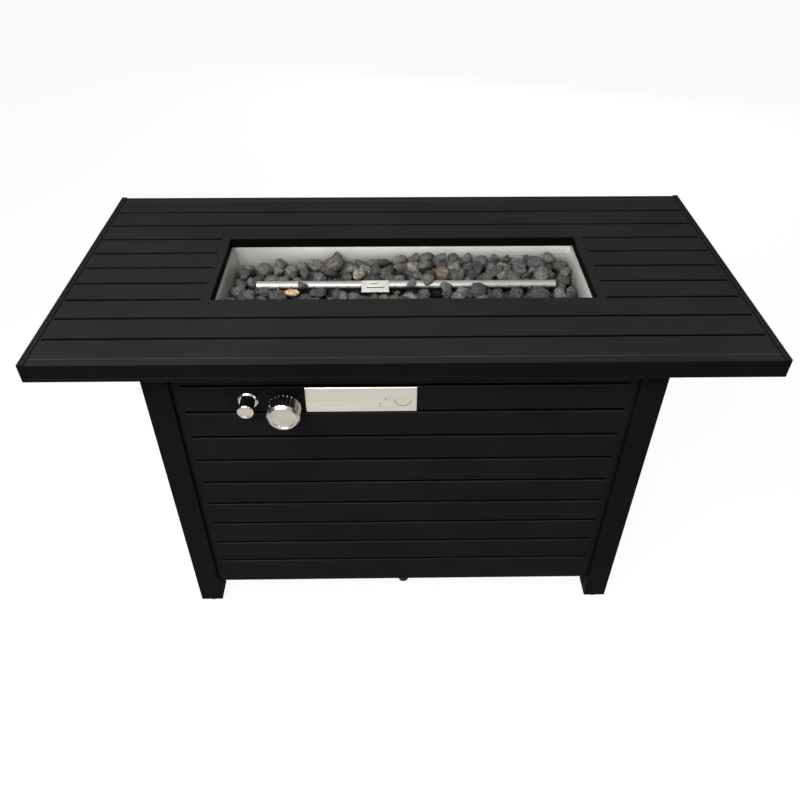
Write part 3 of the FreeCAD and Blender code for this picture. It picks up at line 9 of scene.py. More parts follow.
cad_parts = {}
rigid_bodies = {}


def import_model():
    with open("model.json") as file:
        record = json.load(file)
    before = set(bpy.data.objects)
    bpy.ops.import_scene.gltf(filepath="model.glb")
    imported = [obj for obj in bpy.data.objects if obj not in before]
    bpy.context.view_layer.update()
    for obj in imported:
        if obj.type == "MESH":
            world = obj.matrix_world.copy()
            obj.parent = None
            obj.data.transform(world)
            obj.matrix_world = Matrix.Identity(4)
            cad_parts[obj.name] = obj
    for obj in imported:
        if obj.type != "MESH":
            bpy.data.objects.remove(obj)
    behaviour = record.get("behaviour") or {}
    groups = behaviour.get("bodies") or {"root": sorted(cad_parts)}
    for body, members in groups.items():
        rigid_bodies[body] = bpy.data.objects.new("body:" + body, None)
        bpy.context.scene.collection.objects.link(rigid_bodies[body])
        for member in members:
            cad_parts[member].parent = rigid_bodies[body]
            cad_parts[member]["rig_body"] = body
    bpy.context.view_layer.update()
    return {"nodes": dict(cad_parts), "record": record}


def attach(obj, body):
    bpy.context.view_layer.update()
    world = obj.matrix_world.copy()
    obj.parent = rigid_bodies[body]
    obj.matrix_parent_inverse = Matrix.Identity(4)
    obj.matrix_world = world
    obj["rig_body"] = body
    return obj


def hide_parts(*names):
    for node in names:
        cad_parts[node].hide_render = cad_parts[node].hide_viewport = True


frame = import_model()
NODES = frame["nodes"]

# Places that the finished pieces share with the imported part, in metres
BOWL_LIP = 0.6025
BOWL_FLOOR = 0.5385
BOWL_HALF_LENGTH = 0.295
BOWL_HALF_DEPTH = 0.093
BOWL_WALL_LEAN = 0.14
STONE_CLEARANCE = 0.0015
BURNER_AXIS = 0.5835
BURNER_SHIFT = 0.005
BURNER_BORE = 0.0069
BURNER_LENGTH = 0.49
# Level below which the burner is painted dark: painted shade and reflection of the stones
BURNER_SHADE_LEVEL = 0.5848
COVER_PLACE = (-0.047, -0.0097, 0.5878)
COVER_TILT = math.radians(31.5)
LABEL_FRONT = -0.2125
PANEL_FRONT = -0.211
PANEL_LINE_LEVEL = -0.2094
LOUVRE_TOP = 0.545
LOUVRE_PITCH = 0.0527
LOUVRE_COUNT = 9
LOUVRE_HALF_HEIGHT = 0.0025
LOUVRE_LENGTH = 0.668
SEAM_PLACE = 0.239
SEAM_LENGTH = 1.047
TOP_LEVEL = 0.6205
TOP_LINE_LEVEL = 0.6195

# The heap of stones, in metres
ROCK_SEED = 11
RUBBLE_COUNT = 170
RUBBLE_CORNERS = 11
RUBBLE_HALF_LENGTH = 0.278
RUBBLE_HALF_DEPTH = 0.078
RUBBLE_LEVELS = (0.546, 0.562)
BURNER_GAP = 0.02
CREST_ROWS = ((0.072, 0.5925), (0.048, 0.5885), (0.028, 0.5835))
CREST_START = -0.075
CREST_END = 0.245
CREST_ROW_SHIFT = 0.008
ROUND_CORNERS = 45
BROKEN_CORNERS = 16
CREST_CORNERS = 13

# Stones laid on the heap, on the burner and at the bowl's ends:
# place, radius, how far stretched, colour or None
LAID_STONES = [
    ((-0.184, -0.027, 0.5880), 0.0085, (1.6, 1.0, 0.6), (0.5, 0.31, 0.19, 1)),
    ((-0.047, -0.037, 0.5780), 0.0125, (1.3, 1.0, 1.0), None),
    ((-0.030, -0.042, 0.5780), 0.0110, (1.2, 1.0, 0.9), (0.16, 0.14, 0.1, 1)),
    ((-0.266, -0.036, 0.5780), 0.0120, (1.2, 1.0, 0.9), None),
    ((-0.119, 0.062, 0.5890), 0.0165, (1.15, 1.05, 1.0), (0.085, 0.076, 0.064, 1)),
    ((-0.075, 0.030, 0.5860), 0.0115, (1.2, 1.0, 0.9), (0.17, 0.155, 0.115, 1)),
    ((0.068, 0.028, 0.5890), 0.0115, (1.1, 1.0, 1.0), (0.12, 0.09, 0.065, 1)),
    ((-0.168, -0.005, 0.5910), 0.0110, (1.1, 1.0, 0.9), None),
    ((0.014, -0.005, 0.5920), 0.0085, (1.2, 1.0, 0.9), None),
    ((0.041, 0.001, 0.5935), 0.0105, (1.1, 1.0, 1.0), (0.095, 0.092, 0.072, 1)),
    ((0.070, -0.015, 0.5880), 0.0120, (1.2, 1.0, 1.0), None),
    ((0.124, -0.020, 0.5860), 0.0150, (1.4, 1.0, 0.9), None),
    ((0.098, -0.022, 0.5830), 0.0120, (1.2, 1.0, 0.9), None),
    ((-0.140, -0.022, 0.5840), 0.0125, (1.3, 1.0, 1.0), None),
    ((-0.205, -0.022, 0.5835), 0.0120, (1.5, 1.0, 0.9), None),
    ((-0.227, -0.020, 0.5840), 0.0100, (1.5, 1.0, 0.9), None),
    ((-0.098, -0.030, 0.5800), 0.0110, (1.2, 1.0, 1.0), None),
    ((-0.268, 0.040, 0.5790), 0.0130, (1.3, 1.0, 1.0), None),
    ((-0.276, -0.008, 0.5770), 0.0120, (1.1, 1.2, 1.0), None),
    ((-0.273, -0.062, 0.5770), 0.0125, (1.2, 1.0, 0.9), None),
    ((0.258, -0.062, 0.5790), 0.0165, (1.5, 1.0, 0.9), None),
    ((0.276, 0.024, 0.5760), 0.0125, (1.1, 1.2, 1.0), None),
    ((0.275, -0.028, 0.5750), 0.0120, (1.1, 1.2, 1.0), None),
]

# Camera, as the photograph was taken: lens and frame in widths of the picture
FOCAL_WIDTHS = 724.3 / 800
PRINCIPAL_RISE = 50 / 800
CAMERA_PLACE = Vector((-0.022, -1.024, 1.249))
PITCH = math.radians(38.13)
YAW = math.radians(0.93)
ROLL = math.radians(0.18)

# Studio: tones from 0 black to 1 white, softbox heights from 0 level to 1 overhead, size in metres
BACKGROUND_TONE = 0.98
SOFT_LIGHT = 0.2
SOFTBOX_HEIGHTS = (0.4, 0.85)
SOFTBOX_TONES = (0.1, 0.95)
FLOOR_HALF_SIZE = 9
FLOOR_TONE = 0.48
FLOOR_GLOW = 1.12
FLOOR_GLOW_SHARE = 0.82


def grey(tone):
    return (tone, tone, tone, 1)


def make_camera():
    data = bpy.data.cameras.new("camera")
    data.sensor_width = 36
    data.lens = FOCAL_WIDTHS * data.sensor_width
    data.shift_y = -PRINCIPAL_RISE
    data.clip_start = 0.05
    camera = bpy.data.objects.new("camera", data)
    ahead = Vector((math.sin(YAW) * math.cos(PITCH), math.cos(YAW) * math.cos(PITCH), -math.sin(PITCH)))
    right = Vector((math.cos(YAW), -math.sin(YAW), 0))
    up = right.cross(ahead)
    turned_right = right * math.cos(ROLL) + up * math.sin(ROLL)
    turned_up = up * math.cos(ROLL) - right * math.sin(ROLL)
    turn = Matrix((turned_right, turned_up, -ahead)).transposed().to_4x4()
    camera.matrix_world = Matrix.Translation(CAMERA_PLACE) @ turn
    bpy.context.scene.collection.objects.link(camera)
    bpy.context.scene.camera = camera


# Studio: white surround in view, a softbox overhead in reflections, soft light on the rest

def ray_is(tree, *kinds):
    """1 for the named kinds of ray, else 0."""
    path = tree.nodes.new("ShaderNodeLightPath")
    total = path.outputs[f"Is {kinds[0]} Ray"]
    for kind in kinds[1:]:
        larger = tree.nodes.new("ShaderNodeMath")
        larger.operation = "MAXIMUM"
        tree.links.new(total, larger.inputs[0])
        tree.links.new(path.outputs[f"Is {kind} Ray"], larger.inputs[1])
        total = larger.outputs[0]
    return total


def mixed(tree, share, first, second):
    mix = tree.nodes.new("ShaderNodeMixShader")
    tree.links.new(share, mix.inputs[0])
    tree.links.new(first.outputs[0], mix.inputs[1])
    tree.links.new(second.outputs[0], mix.inputs[2])
    return mix


def make_world():
    world = bpy.data.worlds.new("studio")
    world.use_nodes = True
    tree = world.node_tree
    tree.nodes.clear()
    out = tree.nodes.new("ShaderNodeOutputWorld")
    seen, mirrored, lit = (tree.nodes.new("ShaderNodeBackground") for _ in range(3))
    seen.inputs["Color"].default_value = grey(BACKGROUND_TONE)
    lit.inputs["Color"].default_value = grey(1)
    lit.inputs["Strength"].default_value = SOFT_LIGHT
    split = tree.nodes.new("ShaderNodeSeparateXYZ")
    tree.links.new(tree.nodes.new("ShaderNodeTexCoord").outputs["Generated"], split.inputs[0])
    height = tree.nodes.new("ShaderNodeMapRange")
    height.inputs["From Min"].default_value, height.inputs["From Max"].default_value = SOFTBOX_HEIGHTS
    tree.links.new(split.outputs["Z"], height.inputs["Value"])
    softbox = tree.nodes.new("ShaderNodeMix")
    softbox.data_type = "RGBA"
    for socket, tone in zip((softbox.inputs[6], softbox.inputs[7]), SOFTBOX_TONES):
        socket.default_value = grey(tone)
    tree.links.new(height.outputs["Result"], softbox.inputs["Factor"])
    tree.links.new(softbox.outputs[2], mirrored.inputs["Color"])
    surround = mixed(tree, ray_is(tree, "Glossy"), lit, mirrored)
    surround = mixed(tree, ray_is(tree, "Camera", "Transmission"), surround, seen)
    tree.links.new(surround.outputs[0], out.inputs["Surface"])
    bpy.context.scene.world = world


def make_lamp(name, place, target, size, watts, mirrored=True):
    data = bpy.data.lights.new(name, "AREA")
    data.shape = "RECTANGLE"
    data.size, data.size_y = size
    data.energy = watts
    lamp = bpy.data.objects.new(name, data)
    lamp.location = place
    lamp.visible_glossy = mirrored
    lamp.rotation_euler = (Vector(target) - Vector(place)).to_track_quat("-Z", "Y").to_euler()
    bpy.context.scene.collection.objects.link(lamp)


def make_floor():
    """Plain pale floor, brighter where it is seen directly, that keeps the table's shadow."""
    mesh = bpy.data.meshes.new("floor")
    shape = bmesh.new()
    bmesh.ops.create_grid(shape, x_segments=8, y_segments=8, size=FLOOR_HALF_SIZE)
    shape.to_mesh(mesh)
    shape.free()
    floor = bpy.data.objects.new("floor", mesh)
    bpy.context.scene.collection.objects.link(floor)
    material = bpy.data.materials.new("studio_floor")
    material.use_nodes = True
    tree = material.node_tree
    tree.nodes.clear()
    out = tree.nodes.new("ShaderNodeOutputMaterial")
    matt = tree.nodes.new("ShaderNodeBsdfDiffuse")
    glow = tree.nodes.new("ShaderNodeEmission")
    share = tree.nodes.new("ShaderNodeMath")
    matt.inputs["Color"].default_value = grey(FLOOR_TONE)
    glow.inputs["Color"].default_value = grey(FLOOR_GLOW)
    share.operation = "MULTIPLY"
    share.inputs[1].default_value = FLOOR_GLOW_SHARE
    tree.links.new(ray_is(tree, "Camera", "Transmission"), share.inputs[0])
    tree.links.new(mixed(tree, share.outputs[0], matt, glow).outputs[0], out.inputs["Surface"])
    mesh.materials.append(material)


# Finishes, each under its own name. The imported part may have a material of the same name, and Blender
# then numbers the new one, so they are never looked up by the name that Blender gives them.

FINISHES = {}


class Finish:
    """The node tree of one finish, with short calls for what it is made of."""

    def __init__(self, name, color, metallic=0, roughness=0.5):
        self.material = bpy.data.materials.new(name)
        self.material.use_nodes = True
        self.tree = self.material.node_tree
        self.shader = self.tree.nodes["Principled BSDF"]
        self.shader.inputs["Base Color"].default_value = (*color, 1)
        self.shader.inputs["Metallic"].default_value = metallic
        self.shader.inputs["Roughness"].default_value = roughness
        self.place = self.tree.nodes.new("ShaderNodeTexCoord").outputs["Object"]
        self.height = None
        FINISHES[name] = self.material

    def node(self, kind, **settings):
        item = self.tree.nodes.new(kind)
        for name, value in settings.items():
            setattr(item, name, value)
        return item

    def link(self, start, end):
        self.tree.links.new(start, end)

    def along(self, axis):
        """The place on the piece along one axis."""
        split = self.node("ShaderNodeSeparateXYZ")
        self.link(self.place, split.inputs[0])
        return split.outputs[axis]

    def noise(self, scale, detail=2, roughness=0.5, stretch=None):
        source = self.place
        if stretch:
            mapping = self.node("ShaderNodeMapping")
            mapping.inputs["Scale"].default_value = stretch
            self.link(source, mapping.inputs["Vector"])
            source = mapping.outputs["Vector"]
        item = self.node("ShaderNodeTexNoise")
        item.inputs["Scale"].default_value = scale
        item.inputs["Detail"].default_value = detail
        item.inputs["Roughness"].default_value = roughness
        self.link(source, item.inputs["Vector"])
        return item.outputs["Fac"]

    def span(self, value, low, high, start=0.3, stop=0.7):
        """The value, carried from start and stop over to low and high."""
        item = self.node("ShaderNodeMapRange")
        item.inputs["From Min"].default_value = start
        item.inputs["From Max"].default_value = stop
        item.inputs["To Min"].default_value = low
        item.inputs["To Max"].default_value = high
        self.link(value, item.inputs["Value"])
        return item.outputs["Result"]

    def mix(self, share, first, second):
        item = self.node("ShaderNodeMix", data_type="RGBA")
        self.link(share, item.inputs["Factor"])
        for socket, value in ((item.inputs[6], first), (item.inputs[7], second)):
            if isinstance(value, tuple):
                socket.default_value = (*value, 1)
            else:
                self.link(value, socket)
        return item.outputs[2]

    def tinted(self, shade, tint):
        """The shade times the tint."""
        item = self.node("ShaderNodeMix", data_type="RGBA", blend_type="MULTIPLY")
        item.inputs["Factor"].default_value = 1
        self.link(shade, item.inputs[6])
        self.link(tint, item.inputs[7])
        return item.outputs[2]

    def color(self, value):
        self.link(value, self.shader.inputs["Base Color"])

    def roughness(self, value):
        self.link(value, self.shader.inputs["Roughness"])

    def bump(self, height, strength, distance):
        item = self.node("ShaderNodeBump")
        item.inputs["Strength"].default_value = strength
        item.inputs["Distance"].default_value = distance
        self.link(height, item.inputs["Height"])
        if self.height:
            self.link(self.height, item.inputs["Normal"])
        self.height = item.outputs["Normal"]
        self.link(self.height, self.shader.inputs["Normal"])

    def set(self, **constants):
        for name, value in constants.items():
            self.shader.inputs[name.replace("_", " ")].default_value = value


DUST = (0.05, 0.05, 0.05)
# Near black painted into the floor of pressed lines: a painted shade
LINE_PAINTED_SHADE = (0.0008, 0.0008, 0.0008)
LINE_DEPTH = 0.0006
# Edge, wander and tone of the painted shade on the burner's underside
UNDERSIDE_SHADE_EDGE = (-0.0012, 0.0008)
UNDERSIDE_SHADE_WANDER = 0.0012
UNDERSIDE_SHADE_TONE = (0.03, 0.028, 0.026)
ROLLED_LINES = (0.03, 1, 1)
PLATE_TONE = (0.0042, 0.0042, 0.0042)
PLATE_SMEAR = (0.0075, 0.0075, 0.0075)
ROCK_GRAIN = ((0.4, 0.4, 0.41), (1.75, 1.75, 1.72))
# Near black in the pits of the lava stone: painted shade in the hollows
ROCK_PIT_SHADE = (0.015, 0.015, 0.016)


def powder_coat(name, base, lighter, roughness, gloss, pressed=None):
    """Satin powder coat: faint orange peel, uneven sheen and a little dust. Pressed gives the axis
    and level below which a line's floor is painted near black, a painted shade, and the side to which
    the line opens."""
    finish = Finish(name, base)
    finish.set(Specular_IOR_Level=gloss)
    cloud = finish.span(finish.noise(6, 4, 0.6), 0, 1)
    dust = finish.span(finish.noise(420, 3, 0.7), 0, 0.2, 0.62, 0.8)
    shade = finish.mix(dust, finish.mix(cloud, base, lighter), DUST)
    if pressed:
        axis, level, open_side = pressed
        # Painted shade: the floor of each pressed line is painted near black
        unshaded = finish.span(finish.along(axis), 0, 1, level - LINE_DEPTH * open_side, level)
        shade = finish.mix(unshaded, LINE_PAINTED_SHADE, shade)
    finish.color(shade)
    finish.roughness(finish.span(finish.noise(26, 5, 0.6), roughness - 0.05, roughness + 0.07))
    finish.bump(finish.noise(750, 2, 0.5), 0.12, 0.0004)


def rolled_steel(name, base, stain, roughness, metallic=1, scale=90, shaded_below=None, painted_shades=()):
    """Bright rolled steel: fine lines from left to right, cloudy sheen, stains, a painted shade below a
    level, and each darker tone up to its start along an axis, a painted shade and reflection, fading
    out at its stop."""
    finish = Finish(name, base, metallic=metallic, roughness=roughness)
    lines = finish.noise(scale * 14, 3, 0.6, ROLLED_LINES)
    cloud = finish.span(finish.noise(9, 4, 0.6), 0, 1)
    streak = finish.span(finish.noise(scale * 3, 4, 0.6, ROLLED_LINES), 0.94, 1.05)
    shade = finish.tinted(finish.mix(cloud, base, stain), streak)
    # Painted shade: below the level the steel is painted near black
    if shaded_below:
        level = finish.node("ShaderNodeMath", operation="ADD")
        finish.link(finish.along("Z"), level.inputs[0])
        finish.link(finish.span(finish.noise(60, 3), -UNDERSIDE_SHADE_WANDER, UNDERSIDE_SHADE_WANDER), level.inputs[1])
        start, stop = (shaded_below + edge for edge in UNDERSIDE_SHADE_EDGE)
        shade = finish.mix(finish.span(level.outputs[0], 0, 1, start, stop), UNDERSIDE_SHADE_TONE, shade)
    # Painted shade and painted reflection: darker tones up to each start along an axis
    for axis, start, stop, tone in painted_shades:
        shade = finish.mix(finish.span(finish.along(axis), 0, 1, start, stop), tone, shade)
    finish.color(shade)
    sheen = finish.noise(scale, 5, 0.65, ROLLED_LINES)
    finish.roughness(finish.span(sheen, roughness - 0.05, roughness + 0.08))
    finish.bump(lines, 0.04, 0.0002)


def polished_chrome(name, base, roughness):
    """Bright plating with faint wipe marks, softer where it is worn."""
    finish = Finish(name, base, metallic=1, roughness=roughness)
    worn = finish.span(finish.noise(55, 4, 0.6), 0, 1)
    finish.roughness(finish.span(worn, roughness - 0.04, roughness + 0.08, 0, 1))
    finish.color(finish.mix(worn, base, tuple(part * 0.9 for part in base)))
    finish.bump(finish.noise(140, 3), 0.03, 0.0002)


def gloss_black(name):
    """Glossy black plate with faint finger smears."""
    finish = Finish(name, PLATE_TONE, roughness=0.15)
    finish.set(Specular_IOR_Level=0.02)
    finish.roughness(finish.span(finish.noise(40, 4), 0.12, 0.28))
    smear = finish.span(finish.noise(120, 4, 0.6), 0, 1, 0.5, 0.9)
    finish.color(finish.mix(smear, PLATE_TONE, PLATE_SMEAR))
    finish.bump(finish.noise(90, 2), 0.03, 0.0003)


def turned_metal(name, base, deep, roughness):
    """Machined or drawn metal with faint tool lines and tarnish."""
    finish = Finish(name, base, metallic=1, roughness=roughness)
    cloud = finish.span(finish.noise(45, 5, 0.6), 0, 1)
    finish.color(finish.mix(cloud, base, deep))
    finish.roughness(finish.span(finish.noise(70, 4, 0.6), roughness - 0.08, roughness + 0.12))
    finish.bump(finish.noise(900, 2, 0.5), 0.1, 0.0002)


def moulded(name, base, roughness):
    """Dull moulded, fired or printed matter: softly mottled, with a fine grain."""
    finish = Finish(name, base, roughness=roughness)
    cloud = finish.span(finish.noise(30, 4, 0.6), 0, 1)
    finish.color(finish.mix(cloud, base, tuple(min(1, part * 1.5 + 0.004) for part in base)))
    finish.roughness(finish.span(finish.noise(60, 4), roughness - 0.06, roughness + 0.08))
    finish.bump(finish.noise(500, 3, 0.6), 0.15, 0.0003)


def volcanic_rock(name):
    """Pitted lava stone, its grey or tan taken from each rock's own tone."""
    finish = Finish(name, (0.09, 0.09, 0.09), roughness=0.9)
    finish.set(Specular_IOR_Level=0.25)
    tone = finish.node("ShaderNodeAttribute", attribute_name="rock_tone").outputs["Color"]
    grain = finish.span(finish.noise(260, 5, 0.7), 0, 1, 0.35, 0.65)
    cells = finish.node("ShaderNodeTexVoronoi")
    cells.inputs["Scale"].default_value = 420
    finish.link(finish.place, cells.inputs["Vector"])
    pits = finish.span(cells.outputs["Distance"], 0, 1, 0.08, 0.4)
    # The pits' hollows are painted near black: painted shade
    finish.color(finish.mix(pits, ROCK_PIT_SHADE, finish.tinted(tone, finish.mix(grain, *ROCK_GRAIN))))
    finish.roughness(finish.span(grain, 0.82, 0.98, 0, 1))
    finish.bump(pits, 0.7, 0.001)
    finish.bump(finish.noise(700, 6, 0.7), 0.7, 0.001)
    finish.bump(finish.noise(160, 4, 0.6), 0.8, 0.003)


PANEL_TONES = ((0.005, 0.005, 0.0052), (0.0068, 0.0068, 0.007))
# Painted shade and painted reflection of the stones in the bowl's walls: darker towards the bottom and
# towards the left end
LOW_WALL_PAINTED_SHADE = ("Z", 0.566, 0.600, (0.07, 0.068, 0.064))
LEFT_END_PAINTED_SHADE = ("X", -0.3, -0.14, (0.4, 0.39, 0.36))

# One black powder coat in copies of different tone: lighter on the top and darker on the aprons, rims,
# collar, panels and legs, as painted light and painted shade
powder_coat("top_paint", (0.0098, 0.0098, 0.01), (0.013, 0.013, 0.0133), 0.42, 0.055,
            pressed=("Z", TOP_LINE_LEVEL, 1))
# Lighter paint for bevels that face the light: a painted highlight
powder_coat("edge_highlight_paint", (0.03, 0.03, 0.03), (0.042, 0.042, 0.042), 0.4, 0.1)
# Lighter paint on the louvre lips: a painted highlight
powder_coat("lip_highlight_paint", (0.014, 0.014, 0.014), (0.02, 0.02, 0.02), 0.45, 0.05)
powder_coat("collar_paint", (0.0016, 0.0016, 0.0016), (0.0024, 0.0024, 0.0024), 0.6, 0.01)
powder_coat("apron_paint", (0.0027, 0.0027, 0.0028), (0.0036, 0.0036, 0.0037), 0.45, 0.02)
powder_coat("panel_paint", *PANEL_TONES, 0.45, 0.02)
powder_coat("front_paint", *PANEL_TONES, 0.45, 0.02, pressed=("Y", PANEL_LINE_LEVEL, -1))
powder_coat("leg_paint", (0.0032, 0.0032, 0.0033), (0.0046, 0.0046, 0.0047), 0.45, 0.02)
turned_metal("zinc_plate", (0.62, 0.63, 0.64), (0.5, 0.5, 0.5), 0.34)
moulded("foot_rubber", (0.012, 0.012, 0.012), 0.75)
rolled_steel("bowl_steel", (0.82, 0.805, 0.77), (0.68, 0.66, 0.62), 0.3, metallic=0.5, scale=55,
             painted_shades=(LOW_WALL_PAINTED_SHADE, LEFT_END_PAINTED_SHADE))
# The burner's underside is painted dark: painted shade and reflection
rolled_steel("burner_steel", (0.36, 0.35, 0.33), (0.27, 0.26, 0.24), 0.38, metallic=0.6,
             shaded_below=BURNER_SHADE_LEVEL)
rolled_steel("label_sheet", (0.78, 0.75, 0.67), (0.74, 0.71, 0.63), 0.4)
gloss_black("gloss_plate")
polished_chrome("knob_chrome", (0.62, 0.59, 0.52), 0.19)
polished_chrome("button_chrome", (0.7, 0.64, 0.53), 0.13)
turned_metal("brass", (0.72, 0.56, 0.28), (0.5, 0.37, 0.18), 0.28)
turned_metal("cast_aluminium", (0.66, 0.67, 0.68), (0.5, 0.5, 0.51), 0.42)
moulded("white_ceramic", (0.3, 0.28, 0.25), 0.5)
volcanic_rock("lava_stone")
rolled_steel("cover_steel", (0.5, 0.48, 0.455), (0.43, 0.41, 0.38), 0.36, metallic=0.6)
# Near-black finish for painted shade: inside the burner tube, in the cover's slots and in the top's
# seams
moulded("painted_shade_black", (0.006, 0.0055, 0.005), 0.9)
moulded("label_print", (0.13, 0.12, 0.1), 0.6)

# What a node wears where nothing more special is named for it
SLOT_FINISH = {
    "black_top": "top_paint", "black_base": "leg_paint", "zinc_steel": "zinc_plate",
    "rubber": "foot_rubber", "stainless": "burner_steel", "label_metal": "label_sheet",
    "black_gloss": "gloss_plate", "chrome": "knob_chrome", "brass": "brass",
    "aluminium": "cast_aluminium", "ceramic": "white_ceramic", "lava": "lava_stone",
}
SLOTS = {row["node"]: row["material_slot"] for row in frame["record"]["subparts"]}
NODE_FINISH = {
    "front_apron": "apron_paint", "rear_apron": "apron_paint", "left_rim": "apron_paint",
    "right_rim": "apron_paint", "opening_collar": "collar_paint", "front_panel": "front_paint",
    "left_panel": "panel_paint", "right_panel": "panel_paint", "rear_door": "panel_paint",
    "fire_bowl": "bowl_steel", "igniter_button": "button_chrome", "electrode_cover": "cover_steel",
}

# Pieces whose upper side lies in the table top and takes the top's lighter paint as painted light, and
# those whose bevels take a lighter paint as a painted highlight: 1 where the edge faces up, -1 where it
# faces down
TOP_STRIPS = ("front_apron", "rear_apron", "left_rim", "right_rim")
HIGHLIGHTED_EDGES = {"front_panel": 1, "left_panel": 1, "right_panel": 1, "rear_door": 1,
                "front_apron": -1, "rear_apron": -1}

# Radius to which each piece's sharp edges are worn or folded, in metres
SOFT_EDGED = {
    "top_panel": 0.0004, "left_rim": 0.0005, "right_rim": 0.0005, "front_apron": 0.0005,
    "rear_apron": 0.0005, "front_panel": 0.0009, "left_panel": 0.0005, "right_panel": 0.0005,
    "rear_door": 0.0005, "fire_bowl": 0.0003, "opening_collar": 0.0004, "control_plate": 0.0003,
    "control_knob": 0.0004, "igniter_button": 0.0004, "igniter_collar": 0.0003, "top_frame": 0.0004,
    "rear_header": 0.0003, "bottom_shelf": 0.0003, "hinge_leaf_door": 0.0003,
    "hinge_leaf_frame": 0.0003, "catch_strike": 0.0003, "gas_valve": 0.0004,
}

# What counts as one corner, a flat face, a sharp edge, and a face or edge that looks up
SAME_CORNER = 1e-6
FLAT_WITHIN = math.radians(0.5)
SHARP_FROM = math.radians(28)
TOP_SIDE_FROM = 0.6
HIGHLIGHT_SLANT = (0.3, 0.92)
TOP_SIDE, HIGHLIGHT_SIDE = 1, 2


def finish_of(node):
    return FINISHES[NODE_FINISH.get(node, SLOT_FINISH[SLOTS[node]])]


# Pieces

def add_piece(name, shape, finish, body, replaced=()):
    """A finished piece from a bmesh, with its finish, its body and what it stands for."""
    mesh = bpy.data.meshes.new(name)
    shape.to_mesh(mesh)
    shape.free()
    mesh.materials.append(finish)
    piece = bpy.data.objects.new(name, mesh)
    bpy.context.scene.collection.objects.link(piece)
    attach(piece, body)
    if replaced:
        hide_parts(*replaced)
    return piece


def rounded(shape, edges, radius, **more):
    bmesh.ops.bevel(shape, geom=edges, offset=radius, segments=2, profile=0.5, affect="EDGES",
                    material=-1, **more)


def merged_copy(node):
    """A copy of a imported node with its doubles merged."""
    shape = bmesh.new()
    shape.from_mesh(NODES[node].data)
    bmesh.ops.remove_doubles(shape, verts=shape.verts, dist=SAME_CORNER)
    return shape


def folded(node, radius):
    """The node with its flat faces made whole and its sharp edges rounded as a folded, turned or
    coated piece has them."""
    shape = merged_copy(node)
    bmesh.ops.dissolve_limit(shape, angle_limit=FLAT_WITHIN, verts=shape.verts, edges=shape.edges)
    shape.normal_update()
    sharp = [edge for edge in shape.edges
             if edge.is_manifold and edge.calc_face_angle(0) > SHARP_FROM]
    rounded(shape, sharp, radius, offset_type="OFFSET", clamp_overlap=True)
    shape.normal_update()
    # Up-facing faces of the top strips take the top's lighter paint, painted light; slanted bevels take
    # a painted highlight
    least, most = HIGHLIGHT_SLANT
    for face in shape.faces:
        face.smooth = True
        if node in TOP_STRIPS and face.normal.z > TOP_SIDE_FROM:
            face.material_index = TOP_SIDE
        if node in HIGHLIGHTED_EDGES and least < HIGHLIGHTED_EDGES[node] * face.normal.z < most:
            face.material_index = HIGHLIGHT_SIDE
    piece = add_piece(f"{node}_soft", shape, finish_of(node), NODES[node]["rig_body"],
                      (node,))
    if node in TOP_STRIPS or node in HIGHLIGHTED_EDGES:
        piece.data.materials.append(FINISHES["top_paint"])
        piece.data.materials.append(FINISHES["edge_highlight_paint"])
    weighted = piece.modifiers.new("weighted", "WEIGHTED_NORMAL")
    weighted.keep_sharp = False


def loose_rocks(node):
    """Splits the node into its separate rocks, each a list of corner points."""
    shape = merged_copy(node)
    seen = set()
    for start in shape.verts:
        if start in seen:
            continue
        group, queue = [], [start]
        seen.add(start)
        while queue:
            vert = queue.pop()
            group.append(vert.co.copy())
            for edge in vert.link_edges:
                other = edge.other_vert(vert)
                if other not in seen:
                    seen.add(other)
                    queue.append(other)
        yield group
    shape.free()


def rock_tone(chance):
    """Mostly greys from charcoal to ash, now and then brown or sandy."""
    tone = chance.uniform(0.034, 0.112)
    kind = chance.random()
    if kind < 0.02:
        return (tone * 1.5, tone * 1.35, tone * 1.1, 1)
    if kind < 0.14:
        return (tone * 1.1, tone * 1.02, tone * 0.9, 1)
    return (tone, tone * 1.01, tone * chance.uniform(0.94, 1.02), 1)


def held_in_bowl(point):
    """The point, kept off the bowl's sloping walls and floor."""
    inset = (BOWL_LIP - point.z) * BOWL_WALL_LEAN + STONE_CLEARANCE
    reach_x = BOWL_HALF_LENGTH - inset
    reach_y = BOWL_HALF_DEPTH - inset
    return Vector((min(max(point.x, -reach_x), reach_x), min(max(point.y, -reach_y), reach_y),
                   max(point.z, BOWL_FLOOR)))


def any_direction(chance):
    return Vector((chance.gauss(0, 1), chance.gauss(0, 1), chance.gauss(0, 1))).normalized()


def weathered(rock, centre, grow, chance, even):
    """Stretches the rock, rounds its corners a little, then knocks lumps, flats and dents into it.
    A stone laid flat isn't turned."""
    bmesh.ops.subdivide_edges(rock, edges=rock.edges, cuts=3, use_grid_fill=True)
    for _ in range(chance.choice((1, 1, 2))):
        bmesh.ops.smooth_vert(rock, verts=rock.verts, factor=0.5, use_axis_x=True, use_axis_y=True,
                              use_axis_z=True)
    seed = Vector((chance.uniform(0, 99), chance.uniform(0, 99), chance.uniform(0, 99)))
    heading = Matrix.Rotation(chance.uniform(0, math.pi), 3, "Z")
    lean = Matrix.Rotation(chance.uniform(-0.6, 0.6), 3, "X")
    laid_flat = grow.z < 0.8
    turn = Matrix.Identity(3) if laid_flat else heading @ lean
    stretch = turn @ Matrix.Diagonal(grow) @ turn.transposed()
    rough = 0.4 if even else 1
    for vert in rock.verts:
        away = vert.co - centre
        lump = noise.noise(away * 80 + seed)
        dent = -abs(noise.noise(away * 170 + seed))
        chip = noise.noise(away * 430 + seed)
        swell = 1.02 + rough * (0.22 * lump + 0.3 * dent + 0.06 * chip)
        vert.co = held_in_bowl(centre + stretch @ away * swell)


